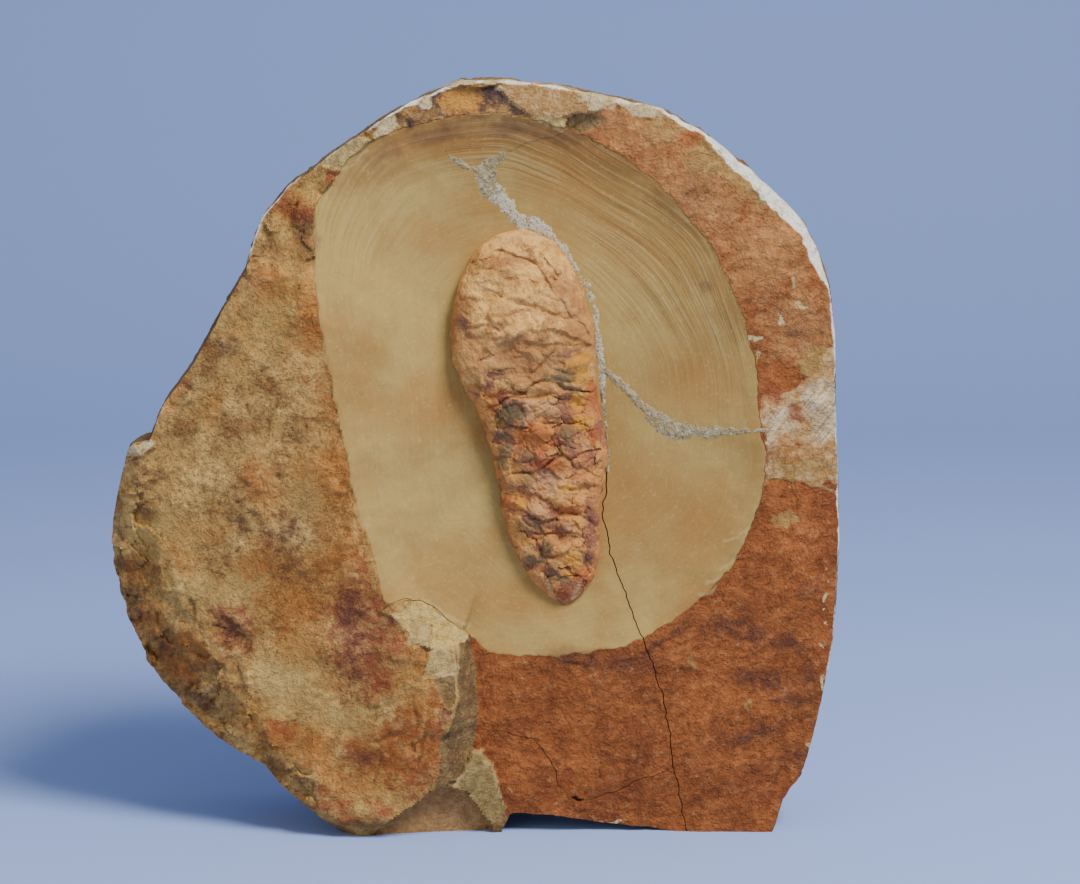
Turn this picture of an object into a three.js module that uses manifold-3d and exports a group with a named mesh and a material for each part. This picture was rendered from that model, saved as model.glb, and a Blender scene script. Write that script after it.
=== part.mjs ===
// A fossil arthropod on its slab of iron-stained mudstone.
//
// Millimetres, +X right, +Z up, the prepared face looks along -Y. The origin is on the
// ground under the middle of the slab. "Rise" is the distance of a surface in front of
// the plane y = 0, so a point of rise r lies at y = -r.

import * as THREE from 'three';
import { mergeVertices } from 'three/addons/utils/BufferGeometryUtils.js';
import Module from 'manifold-3d';

const wasm = await Module();
wasm.setup();

// ---- driving dimensions ----

const GAP = 0.3;                 // joint between pieces that touch
const FAR = 60;                  // beyond every surface of the slab, front or back
const BLOCK = { left: -106, right: 106, bottom: -10, top: 212 };
const FINE_CELL = 5;             // relief grid of the front
const COARSE_CELL = 16;          // relief grid of the back
const FLAT_CELL = 500;           // one cell over the whole slab

const LOWER_BED_RISE = 16;       // red bed on the right
const UPPER_BED_RISE = 28;       // ochre bed on the left, at x = 0
const UPPER_BED_TILT = 0.1;      // it thins out to the left
const UPPER_BED_LIMIT = 26.5;
const BACK_RISE = -25.5;
const RECESS_FLOOR_RISE = 10;    // deepest level of the scraped recess
const FILLER_DEPTH = 4;
const FILLER_PROUD = 0.4;

// Silhouette of the slab, clockwise from its upper left shoulder. It runs below the
// ground at the two feet, which are cut off flat at z = 0.
const SILHOUETTE = [
  [-57, 170], [-50, 178], [-39, 186], [-25, 195.5], [-17.5, 200], [-3.5, 206], [7, 206],
  [20, 205], [33.5, 202], [49.5, 198.5], [60.5, 193], [72.5, 183.5], [83.5, 173], [89, 167],
  [92.5, 160.5], [96, 151], [97.5, 138], [98, 118.5], [99, 96.5], [99.5, 81], [99, 64.5],
  [98, 52], [95.5, 36.5], [92.5, 24], [90, 14.5], [85, 8], [83, 1], [80, -9], [62, -9],
  [58, -1.6], [49, 0], [34, 1.8], [20, 3.8], [9.5, 4.3], [7.5, 0], [5, -9], [-33, -9],
  [-36, -1.2], [-41.5, 2], [-53, 12], [-59, 18.5], [-71.5, 25.5], [-83, 36], [-91, 46.5], [-95.5, 58.5],
  [-98.5, 69.5], [-100, 76.5], [-99.5, 85], [-97, 97], [-94.5, 106.5], [-92.5, 108.5],
  [-89, 108.5], [-85, 118.5], [-77, 129.5], [-67.5, 146.5], [-62, 155.5], [-60, 163],
];

// The slab's sides: how much the silhouette shrinks towards its middle at each depth.
const SIDE_LEVELS = [
  { y: FAR, shrink: 0.11 },
  { y: 25, shrink: 0.075 },
  { y: 14, shrink: 0.04 },
  { y: 4, shrink: 0.018 },
  { y: -9, shrink: 0 },
  { y: -15, shrink: 0.008 },
  { y: -27, shrink: 0.028 },
  { y: -FAR, shrink: 0.05 },
];
const SLAB_MIDDLE = { x: 0, z: 102 };
const SIDE_ROUGHNESS = 2.2;

// The broken edge of the upper bed under the recess: at each height the x of its upper
// edge and of its foot on the lower bed.
const STEP = [
  [216, 31, 32], [56, -1, 0.2], [47, -3.6, 1], [39, -6, 1.3], [32, -9.2, 1.2],
  [23, -10, 1.4], [14, -10.5, 4], [5, -11, 8.5], [-12, -12, 13],
];

// Planes that shape the edge of the upper bed. Each lies at its rise along the line
// from -> to, and climbs by "slope" to the left of that line and falls to the right.
// A cap is the highest of its planes, and the bed lies under the lowest of its caps.
const UPPER_END = { from: [-100, 140], to: [100, 140], rise: 24, slope: -0.16 };
const LEFT_BEVEL = { from: [-91, 112], to: [-83, 68], rise: 19.2, slope: 0.9 };
const LOWER_LEFT_BEVEL = { from: [-83.5, 70], to: [-56, 22], rise: 21, slope: 0.85 };
const BOTTOM_CORNER = { from: [-35.5, 1.5], to: [-10.5, 15], rise: 25, slope: 0.62 };
const LEFT_SHOULDER = { from: [-56, 161], to: [-22, 189], rise: 18.5, slope: -0.8 };
const RECESS_CORNER = { from: [-24, 70], to: [-6, 40], rise: 26, slope: -0.65 };
const RECESS_CORNER_TOP = { from: [-26, 72], to: [2, 56], rise: 16, slope: 3 };
const UPPER_BED_CAPS = [
  [UPPER_END],
  [LEFT_BEVEL],
  [LOWER_LEFT_BEVEL],
  [BOTTOM_CORNER],
  [LEFT_SHOULDER],
  [RECESS_CORNER, RECESS_CORNER_TOP],
];

// Rim of the scraped recess, clockwise from its upper left.
const RIM = [
  [-42, 171.5], [-34.5, 183], [-27, 189], [-17, 193], [-5, 195.5], [7, 196.5], [19, 194],
  [27, 191.5], [37.5, 186], [47, 179.5], [55.5, 171], [63, 161.5], [69, 150], [73.5, 137.5],
  [76, 124], [77, 111.5], [78.5, 102], [76, 89.5], [70.5, 76], [61, 65], [49, 56.5],
  [36.5, 51.5], [23, 49.5], [6.5, 50], [-1.5, 55], [-14, 65.5], [-23.5, 66.5], [-27.5, 80],
  [-32, 93.5], [-34.5, 107], [-37.5, 122], [-40, 135.5], [-42, 150], [-42.5, 160.5],
];
const RECESS_MIDDLE = { x: 19, z: 120 };
const RIM_SAMPLES = 360;
const RIM_FACETS = 48;

// Cross-sections of the animal from the front of its head to the tip of its tail:
// middle x, middle z, half width, and how far its crest stands over the recess floor.
const BODY = [
  [12.0, 167.0, 0, 0], [11.8, 164.0, 8.0, 4.0], [12.1, 160.0, 12.4, 6.6],
  [12.4, 153.0, 16.2, 9.0], [12.6, 146.5, 18.4, 10.4], [13.1, 138.5, 19.6, 10.8],
  [13.6, 130.5, 19.5, 10.4], [14.9, 123.5, 18.3, 9.4], [16.7, 118.0, 17.0, 9.0],
  [18.7, 111.5, 15.9, 8.8], [20.5, 104.5, 15.4, 8.4], [20.8, 98.0, 14.3, 7.8],
  [20.8, 90.0, 13.0, 7.2], [21.8, 83.0, 11.7, 6.4], [23.4, 76.0, 10.3, 5.6],
  [24.3, 70.5, 8.4, 4.6], [24.7, 66.0, 4.9, 3.2], [25.0, 62.5, 0, 0],
];
const BODY_BURIED = 3.5;         // how deep the animal sits in the rock
const TRUNK_START = 0.43;        // share of the body's length taken by the smooth head
const FOLD_PITCH = 8.6;          // distance between the trunk's cross folds
const FOLD_HEIGHT = 0.9;
const CARAPACE_LIFT = 0.7;       // the head shield stands this much over the trunk

// Break between the fragments: from the top edge round the head to the right edge, and
// from there along the animal's right side down to the lower edge.
const SEAM = [
  [32, 222], [31, 200], [29.5, 194], [23, 191], [12.5, 188], [7, 185.5], [3.5, 180.5],
  [5.5, 176], [9, 171.5], [12, 167], [19, 165], [24.5, 159.5], [29, 152], [32, 143.5],
  [33, 134], [33.5, 126.5], [40.5, 120.5], [47, 113.5], [53.5, 109.5], [65, 109.5],
  [77, 111], [88, 112.5], [112, 114],
];
const CRACK = [
  [33.4, 127.5], [35, 114], [36, 104], [35.5, 96], [34.5, 87.5], [35.5, 82], [37, 76.5],
  [39.5, 70], [42.5, 61], [46, 53], [48.5, 47.5], [50.5, 39], [52.5, 30.5], [54, 21],
  [55.5, 11], [57, 4], [59, -14],
];

// Filler in the break: x, z and half width along its two runs.
const FILLER_RUNS = [
  [
    [21, 190, 0.8], [12.5, 188, 1.0], [7, 185.5, 1.8], [3.5, 181.5, 3.4], [3, 178, 4.0],
    [5.5, 174.5, 3.4], [9, 171.5, 2.7], [12, 168.5, 2.6], [19, 166, 2.2], [24.8, 160, 1.9],
    [29.5, 152.5, 1.7], [32.5, 143.5, 1.5], [33.6, 134, 1.4], [34.3, 126.5, 2.1],
    [40.5, 120.5, 1.5], [47, 113.5, 2.0], [53.5, 109.8, 3.2], [60, 109, 2.9],
    [66, 109.7, 2.1], [76, 111, 2.0], [80, 111.5, 1.4],
  ],
  [[34.3, 128, 1.2], [35.4, 114, 0.9], [36.4, 104, 0.8], [36, 99, 0.5]],
];

const COLOURS = {
  mudstone: 0xa9743f,
  rustStone: 0xa5642f,
  arthropod: 0xb47a4b,
  filler: 0xa5967d,
};

// ---- from three.js geometry to solids and back ----

function toSolid(geometry) {
  geometry.deleteAttribute('normal');
  geometry.deleteAttribute('uv');
  const merged = mergeVertices(geometry, 1e-4);
  return new wasm.Manifold(new wasm.Mesh({
    numProp: 3,
    vertProperties: new Float32Array(merged.attributes.position.array),
    triVerts: new Uint32Array(merged.index.array),
  }));
}

function toGeometry(solid) {
  const mesh = solid.getMesh();
  const geometry = new THREE.BufferGeometry();
  geometry.setAttribute('position', new THREE.BufferAttribute(mesh.vertProperties, 3));
  geometry.setIndex(new THREE.BufferAttribute(mesh.triVerts, 1));
  geometry.computeVertexNormals();
  return geometry;
}

// Moves every vertex of a geometry with move(point).
function reshape(geometry, move) {
  const position = geometry.attributes.position;
  const point = new THREE.Vector3();
  for (let i = 0; i < position.count; i += 1) {
    point.fromBufferAttribute(position, i);
    move(point);
    position.setXYZ(i, point.x, point.y, point.z);
  }
  return geometry;
}

// ---- surfaces of the rock ----

// The gentle waves of a split bedding plane, about one millimetre high.
function swell(x, z) {
  return 0.5 * Math.sin(0.11 * x + 0.07 * z)
    + 0.35 * Math.sin(0.16 * z - 0.06 * x + 1.3)
    + 0.25 * Math.sin(0.33 * x - 0.24 * z + 0.6);
}

function planeRise(plane, x, z) {
  const [fromX, fromZ] = plane.from;
  const along = new THREE.Vector2(plane.to[0] - fromX, plane.to[1] - fromZ).normalize();
  const toTheLeft = along.x * (z - fromZ) - along.y * (x - fromX);
  return plane.rise + plane.slope * toTheLeft;
}

function lowerBedRise(x, z) {
  return LOWER_BED_RISE + swell(x, z);
}

function upperBeddingRise(x, z) {
  return Math.min(UPPER_BED_LIMIT, UPPER_BED_RISE + UPPER_BED_TILT * x) + swell(x, z);
}

function upperBedRise(x, z) {
  const caps = UPPER_BED_CAPS
    .map((planes) => Math.max(...planes.map((plane) => planeRise(plane, x, z))));
  return Math.min(upperBeddingRise(x, z), ...caps);
}

function stepX(z, column) {
  const next = STEP.findIndex((level) => level[0] < z);
  const above = STEP[next - 1];
  const below = STEP[next];
  const share = (z - below[0]) / (above[0] - below[0]);
  return THREE.MathUtils.lerp(below[column], above[column], share);
}

// The face of the slab as it was before the recess was scraped.
function bedRise(x, z) {
  const lower = lowerBedRise(x, z);
  return x < stepX(z, 1) ? Math.max(lower, upperBedRise(x, z)) : lower;
}

// The rim in polar form round the middle of the recess, one sample for each degree.
const rimTable = new THREE.CatmullRomCurve3(
  RIM.map(([x, z]) => new THREE.Vector3(x, 0, z)), true, 'catmullrom', 0.5,
).getPoints(RIM_SAMPLES).slice(0, -1).map(({ x, z }) => ({
  angle: Math.atan2(z - RECESS_MIDDLE.z, x - RECESS_MIDDLE.x),
  radius: Math.hypot(x - RECESS_MIDDLE.x, z - RECESS_MIDDLE.z),
  rise: bedRise(x, z),
})).sort((a, b) => a.angle - b.angle);

function rimAt(angle) {
  const next = rimTable.findIndex((sample) => sample.angle > angle);
  const after = next < 0 ? rimTable[0] : rimTable[next];
  const before = next < 1 ? rimTable.at(-1) : rimTable[next - 1];
  const turn = 2 * Math.PI;
  const span = (after.angle - before.angle + turn) % turn;
  const share = ((angle - before.angle + turn) % turn) / span;
  return {
    radius: THREE.MathUtils.lerp(before.radius, after.radius, share),
    rise: THREE.MathUtils.lerp(before.rise, after.rise, share),
  };
}

// How sharply the recess turns up at its rim: a long slope on the left, a short one on
// the right and below, a wall at the top.
function rimSharpness(angle) {
  const up = Math.max(0, Math.sin(angle));
  const down = Math.max(0, -Math.sin(angle));
  return 2.05 + 0.45 * Math.cos(angle) + 4.2 * up ** 5 + 1.4 * down ** 2;
}

// Surface of the recess at a share of the way from its middle to its rim.
function scrapedRise(share, angle) {
  const rim = rimAt(angle);
  return RECESS_FLOOR_RISE + (rim.rise - RECESS_FLOOR_RISE) * share ** rimSharpness(angle);
}

function recessRise(x, z) {
  const angle = Math.atan2(z - RECESS_MIDDLE.z, x - RECESS_MIDDLE.x);
  const distance = Math.hypot(x - RECESS_MIDDLE.x, z - RECESS_MIDDLE.z);
  return scrapedRise(distance / rimAt(angle).radius, angle);
}

// ---- blocks that make the rock ----

// A block whose front or back carries a relief, and whose other side is flat.
function reliefBlock(cell, frontRise, backRise) {
  const width = BLOCK.right - BLOCK.left;
  const height = BLOCK.top - BLOCK.bottom;
  const columns = Math.ceil(width / cell);
  const rows = Math.ceil(height / cell);
  const box = new THREE.BoxGeometry(width, 2, height, columns, 1, rows);
  box.translate((BLOCK.right + BLOCK.left) / 2, 0, (BLOCK.top + BLOCK.bottom) / 2);
  return toSolid(reshape(box, (point) => {
    const rise = point.y < 0 ? frontRise(point.x, point.z) : backRise(point.x, point.z);
    point.y = -rise;
  }));
}

// Everything in front of all the given planes.
function inFrontOf(planes) {
  return planes
    .map((plane) => reliefBlock(FLAT_CELL, () => 20 * FAR, (x, z) => planeRise(plane, x, z)))
    .reduce((all, block) => all.intersect(block));
}

function upperBed() {
  const block = reliefBlock(FINE_CELL, upperBeddingRise, () => 0).intersect(stepBlock());
  return UPPER_BED_CAPS.reduce((bed, planes) => bed.subtract(inFrontOf(planes)), block);
}

// The split, uneven back of the slab, thinner towards the top.
function backFace(x, z) {
  return BACK_RISE + 1.2 * swell(z, x) + 0.03 * Math.max(0, z - 90);
}

// Everything left of the step, with the step's broken face ruled between its two edges.
function stepBlock() {
  const box = new THREE.BoxGeometry(2, 2, STEP.length - 1, 1, 2, STEP.length - 1);
  const middleRise = LOWER_BED_RISE;
  const footToEdge = 26 - middleRise;
  return toSolid(reshape(box, (point) => {
    const [height, edge, foot] = STEP[Math.round((STEP.length - 1) / 2 - point.z)];
    const rise = { '-1': FAR, 0: middleRise, 1: 0 }[point.y];
    const lean = Math.max(0, rise - middleRise) / footToEdge;
    const wall = foot + (edge - foot) * lean;
    point.set(point.x < 0 ? BLOCK.left - 2 * FAR : wall, -rise, height);
  }));
}

// The outline of the slab with its rough, slightly tapering sides.
function silhouetteBlock() {
  const shape = new THREE.Shape(SILHOUETTE.map(([x, z]) => new THREE.Vector2(x, z)));
  const steps = SIDE_LEVELS.length - 1;
  const prism = new THREE.ExtrudeGeometry(shape, { depth: steps, steps, bevelEnabled: false });
  return toSolid(reshape(prism, (point) => {
    const level = SIDE_LEVELS[Math.round(point.z)];
    const x = point.x;
    const z = point.y;
    const chip = SIDE_ROUGHNESS * Math.sin(0.21 * x + 0.17 * z + 1.9 * point.z);
    const keep = 1 - level.shrink - (level.shrink > 0 ? Math.abs(chip) / 100 : 0);
    point.set(
      SLAB_MIDDLE.x + (x - SLAB_MIDDLE.x) * keep,
      level.y,
      SLAB_MIDDLE.z + (z - SLAB_MIDDLE.z) * keep,
    );
  }).rotateX(0));
}

function groundBlock() {
  const box = new THREE.BoxGeometry(4 * FAR, 4 * FAR, 4 * FAR);
  return toSolid(box.translate(0, 0, 2 * FAR));
}

// The scraped recess as a tool: a bowl with a lid far in front of the slab.
function recessTool() {
  const shares = [0, 0.3, 0.52, 0.68, 0.8, 0.89, 0.96, 1, 1.04];
  const profile = shares.map((share, level) => new THREE.Vector2(share, level));
  profile.push(new THREE.Vector2(shares.at(-1), shares.length));
  profile.push(new THREE.Vector2(0, shares.length));
  const lathe = new THREE.LatheGeometry(profile, RIM_FACETS);
  return toSolid(reshape(lathe, (point) => {
    const angle = Math.atan2(point.x, point.z);
    const share = Math.hypot(point.x, point.z);
    const onLid = point.y > shares.length - 0.5;
    const radius = share * rimAt(angle).radius;
    const rise = onLid ? FAR : scrapedRise(share, angle);
    point.set(
      RECESS_MIDDLE.x + radius * Math.cos(angle),
      -rise,
      RECESS_MIDDLE.z + radius * Math.sin(angle),
    );
  }));
}

// ---- ribbons along the break ----

// Left and right edge of a run of [x, z, half width] points.
function ribbonPoint(run, index, side) {
  const before = run[Math.max(0, index - 1)];
  const after = run[Math.min(run.length - 1, index + 1)];
  const [x, z, halfWidth] = run[index];
  const along = new THREE.Vector2(after[0] - before[0], after[1] - before[1]).normalize();
  return [x - side * halfWidth * along.y, z + side * halfWidth * along.x];
}

function breakWall(path) {
  const run = path.map(([x, z]) => [x, z, GAP / 2]);
  const left = run.map((_, index) => ribbonPoint(run, index, 1));
  const right = run.map((_, index) => ribbonPoint(run, index, -1)).reverse();
  const shape = new THREE.Shape([...left, ...right].map(([x, z]) => new THREE.Vector2(x, z)));
  const wall = new THREE.ExtrudeGeometry(shape, { depth: 2 * FAR, bevelEnabled: false });
  return toSolid(wall.rotateX(Math.PI / 2).translate(0, FAR, 0));
}

// A run of filler, grown by "grow" at its sides and foot, with a given front.
function fillerBand(run, grow, frontRise) {
  const last = run.length - 1;
  const box = new THREE.BoxGeometry(2, last, 2, 2, last, 1);
  const widened = run.map(([x, z, halfWidth]) => [x, z, halfWidth + grow]);
  return toSolid(reshape(box, (point) => {
    const index = Math.round(last / 2 + point.y);
    const [x, z] = ribbonPoint(widened, index, -point.x);
    const front = point.z > 0;
    const rise = front ? frontRise(x, z) : recessRise(x, z) - FILLER_DEPTH - grow;
    point.set(x, -rise, z);
  }));
}

function fillerSolid(grow, frontRise) {
  return FILLER_RUNS
    .map((run) => fillerBand(run, grow, frontRise))
    .reduce((all, band) => all.add(band));
}

// ---- the animal ----

const bodyAxis = new THREE.CatmullRomCurve3(
  BODY.map(([x, z, halfWidth]) => new THREE.Vector3(x, halfWidth, z)), false, 'catmullrom', 0.5,
);
const bodyCrest = new THREE.CatmullRomCurve3(
  BODY.map(([, z, , crest]) => new THREE.Vector3(0, crest, z)), false, 'catmullrom', 0.5,
);

// Cross folds of the trunk, and the fainter crumples of the head.
function bodyRelief(share, across, z) {
  const bend = 1.4 * across * across + 0.7 * Math.sin(5 * across + 0.25 * z);
  const folds = FOLD_HEIGHT * Math.cos((2 * Math.PI * (z - 2.2 * bend)) / FOLD_PITCH);
  const lumps = 0.5 * Math.sin(4.2 * across + 0.5 * z) * Math.cos(0.31 * z);
  const crumples = 0.45 * Math.sin(0.42 * z + 3 * across) + 0.3 * Math.sin(5 * across - 0.5 * z);
  return share > TRUNK_START ? folds + lumps : crumples + CARAPACE_LIFT;
}

const ANIMAL = { around: 26, along: 44, grow: 0, crestScale: 1, reliefScale: 1 };
const POCKET = { around: 26, along: 22, grow: 1.5 * GAP, crestScale: 3, reliefScale: 0 };

// The crumpled body, or the deeper and slightly wider pocket that it sits in.
function bodySolid({ around, along, grow, crestScale, reliefScale }) {
  const sphere = new THREE.SphereGeometry(1, around, along);
  return toSolid(reshape(sphere, (point) => {
    const polar = Math.acos(THREE.MathUtils.clamp(point.y, -1, 1));
    const share = polar / Math.PI;
    const isPole = Math.hypot(point.x, point.z) < 1e-6;
    const evenTurn = Math.atan2(point.x, point.z);
    const turn = evenTurn - 0.45 * Math.sin(evenTurn);
    const over = isPole ? 0 : Math.cos(turn);
    const across = isPole ? 0 : Math.sign(Math.sin(turn)) * Math.abs(Math.sin(turn)) ** 0.8;
    const section = bodyAxis.getPoint(share);
    const crest = crestScale * bodyCrest.getPoint(share).y;
    const floor = recessRise(section.x, section.z) - 0.5;
    const relief = reliefScale * bodyRelief(share, across, section.z) * Math.min(1, crest / 5);
    const front = (crest + relief + grow) * Math.max(0, over) ** 0.6;
    const buried = (BODY_BURIED * Math.min(1, section.y / 4) + grow) * Math.max(0, -over) ** 0.6;
    point.set(
      section.x + across * (section.y + grow),
      buried - front - floor,
      section.z + grow * point.y,
    );
  }));
}

// ---- assembly ----

function wholeSlab() {
  return reliefBlock(FINE_CELL, lowerBedRise, () => -FAR)
    .add(upperBed())
    .intersect(reliefBlock(COARSE_CELL, () => FAR, backFace))
    .intersect(silhouetteBlock())
    .intersect(groundBlock())
    .subtract(recessTool());
}

function addPiece(group, name, solid, color, roughness) {
  const material = new THREE.MeshStandardMaterial({ color, roughness, metalness: 0 });
  const mesh = new THREE.Mesh(toGeometry(solid), material);
  mesh.name = name;
  group.add(mesh);
}

const pocket = bodySolid(POCKET);
const fragments = wholeSlab()
  .subtract(pocket)
  .subtract(fillerSolid(GAP, () => FAR))
  .subtract(breakWall(SEAM))
  .subtract(breakWall(CRACK))
  .decompose()
  .sort((a, b) => b.volume() - a.volume());
const [mainFragment, ...rightFragments] = fragments.slice(0, 3);
const [upperRight, lowerRight] = rightFragments
  .sort((a, b) => b.boundingBox().max[2] - a.boundingBox().max[2]);
const filler = fillerSolid(0, (x, z) => recessRise(x, z) + FILLER_PROUD).subtract(pocket);

const fossilSlab = new THREE.Group();
addPiece(fossilSlab, 'slab_main', mainFragment, COLOURS.mudstone, 0.92);
addPiece(fossilSlab, 'slab_upper_right', upperRight, COLOURS.rustStone, 0.92);
addPiece(fossilSlab, 'slab_lower_right', lowerRight, COLOURS.rustStone, 0.92);
addPiece(fossilSlab, 'arthropod', bodySolid(ANIMAL), COLOURS.arthropod, 0.8);
addPiece(fossilSlab, 'repair_filler', filler, COLOURS.filler, 0.95);

export default fossilSlab;
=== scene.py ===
"""A fossil arthropod on its split and scraped slab of mudstone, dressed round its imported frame.

Lengths in the tables are millimetres in the frame of the part: +X right, +Z up, and the
prepared face looks along -Y. "Rise" is the distance of a surface in front of the plane y = 0.
"""

import math

import bmesh
import bpy
import numpy as np
from bpy.props import FloatProperty, FloatVectorProperty, PointerProperty
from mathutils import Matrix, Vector


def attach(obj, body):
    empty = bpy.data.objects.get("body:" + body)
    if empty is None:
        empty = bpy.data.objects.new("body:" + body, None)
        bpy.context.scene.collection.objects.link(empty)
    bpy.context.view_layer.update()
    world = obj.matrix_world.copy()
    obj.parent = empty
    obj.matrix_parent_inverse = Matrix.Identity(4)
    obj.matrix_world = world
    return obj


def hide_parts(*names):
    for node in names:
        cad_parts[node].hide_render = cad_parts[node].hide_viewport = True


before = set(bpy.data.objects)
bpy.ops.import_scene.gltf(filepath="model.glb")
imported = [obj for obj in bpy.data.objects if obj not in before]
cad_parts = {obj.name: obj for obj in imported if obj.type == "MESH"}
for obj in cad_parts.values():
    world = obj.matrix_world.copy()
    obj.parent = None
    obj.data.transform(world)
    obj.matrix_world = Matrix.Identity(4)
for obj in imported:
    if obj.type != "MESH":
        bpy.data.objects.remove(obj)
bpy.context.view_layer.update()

bl_info = {
    "name": "Fossil Slab",
    "version": (1, 0, 0),
    "blender": (4, 5, 0),
    "location": "3D View > Sidebar > Fossil",
    "description": "Makes a fossil arthropod on its slab of iron-stained mudstone",
    "category": "Add Mesh",
}

MM = 0.001

# ---- the slab: outline, beds, recess and break ----

FAR = 60
LEFT, RIGHT, BOTTOM, TOP = -106, 106, -10, 212
LOWER_BED_RISE = 16
UPPER_BED_RISE = 28
UPPER_BED_TILT = 0.1
UPPER_BED_LIMIT = 26.5
BACK_RISE = -25.5
RECESS_FLOOR_RISE = 10
FILLER_DEPTH = 4
FILLER_PROUD = 0.13
BACK_CELL = 2.5
SIDE_CELL = 1.05
ROUTE_CELL = 0.7

# Clockwise from the upper left shoulder. It runs below the ground at the two feet.
OUTLINE = [
    (-57, 170), (-50, 178), (-39, 186), (-25, 195.5), (-17.5, 200), (-3.5, 206), (7, 206), (20, 205),
    (33.5, 202), (49.5, 198.5), (60.5, 193), (72.5, 183.5), (83.5, 173), (89, 167), (92.5, 160.5),
    (96, 151), (97.5, 138), (98, 118.5), (99, 96.5), (99.5, 81), (99, 64.5), (98, 52), (95.5, 36.5),
    (92.5, 24), (90, 14.5), (85, 8), (83, 1), (80, -9), (62, -9), (58, -1.6), (49, 0), (34, 1.8),
    (20, 3.8), (9.5, 4.3), (7.5, 0), (5, -9), (-33, -9), (-36, -1.2), (-41.5, 2), (-53, 12),
    (-59, 18.5), (-71.5, 25.5), (-83, 36), (-91, 46.5), (-95.5, 58.5), (-98.5, 69.5), (-100, 76.5),
    (-99.5, 85), (-97, 97), (-94.5, 106.5), (-92.5, 108.5), (-89, 108.5), (-85, 118.5), (-77, 129.5),
    (-67.5, 146.5), (-62, 155.5), (-60, 163),
]
SLAB_MIDDLE = (0, 102)

# y, and how much the outline shrinks towards its middle there.
SIDE_LEVELS = [
    (-60, 0.05), (-27, 0.028), (-15, 0.008), (-9, 0), (4, 0.018), (14, 0.04), (25, 0.075), (60, 0.11),
]

# The broken edge of the upper bed: height, x of its upper edge, x of its foot. Its wall shows
# up to the height of the recess.
STEP_SHOWS_TO = 58
STEP = [
    (-12, -11, 13), (5, -10.4, 8.5), (12, -9.8, 6.2), (17.5, -9.6, 4.6), (21.5, -9.6, 1.4),
    (23.7, -9.7, -0.8), (28, -9.4, -0.2), (31.4, -7.6, 0.4), (35.4, -5.6, 0.6), (39.3, -4.9, 0.5),
    (48, -4.9, -0.8), (54, -4.4, -1), (60, -1, 0), (216, 31, 32),
]

# Planes that cut the edge of the upper bed, each group with how rough its break is: from,
# to, rise on that line, and slope to its left. The bed lies under each group, and a group
# is the highest of its planes.
UPPER_BED_CAPS = {
    "upper_end": (0.7, [((-100, 140), (100, 140), 24, -0.16)]),
    "left_bevel": (1.3, [((-91, 112), (-83, 68), 19.4, 0.62)]),
    "lower_left_bevel": (1.3, [((-83.5, 70), (-56, 22), 20.6, 0.62)]),
    "bottom_corner": (0.1, [((-27, 2.2), (-9.4, 14.8), 25, 0.4)]),
    "bottom_edge": (0.3, [((-60, 4), (-20, 4), 23.5, 0.85)]),
    "left_shoulder": (1.3, [((-56, 161), (-22, 189), 18.5, -0.8)]),
    "recess_corner": (0.4, [((-24, 70), (-6, 40), 26, -0.65), ((-26, 72), (2, 56), 16, 3)]),
}

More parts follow.
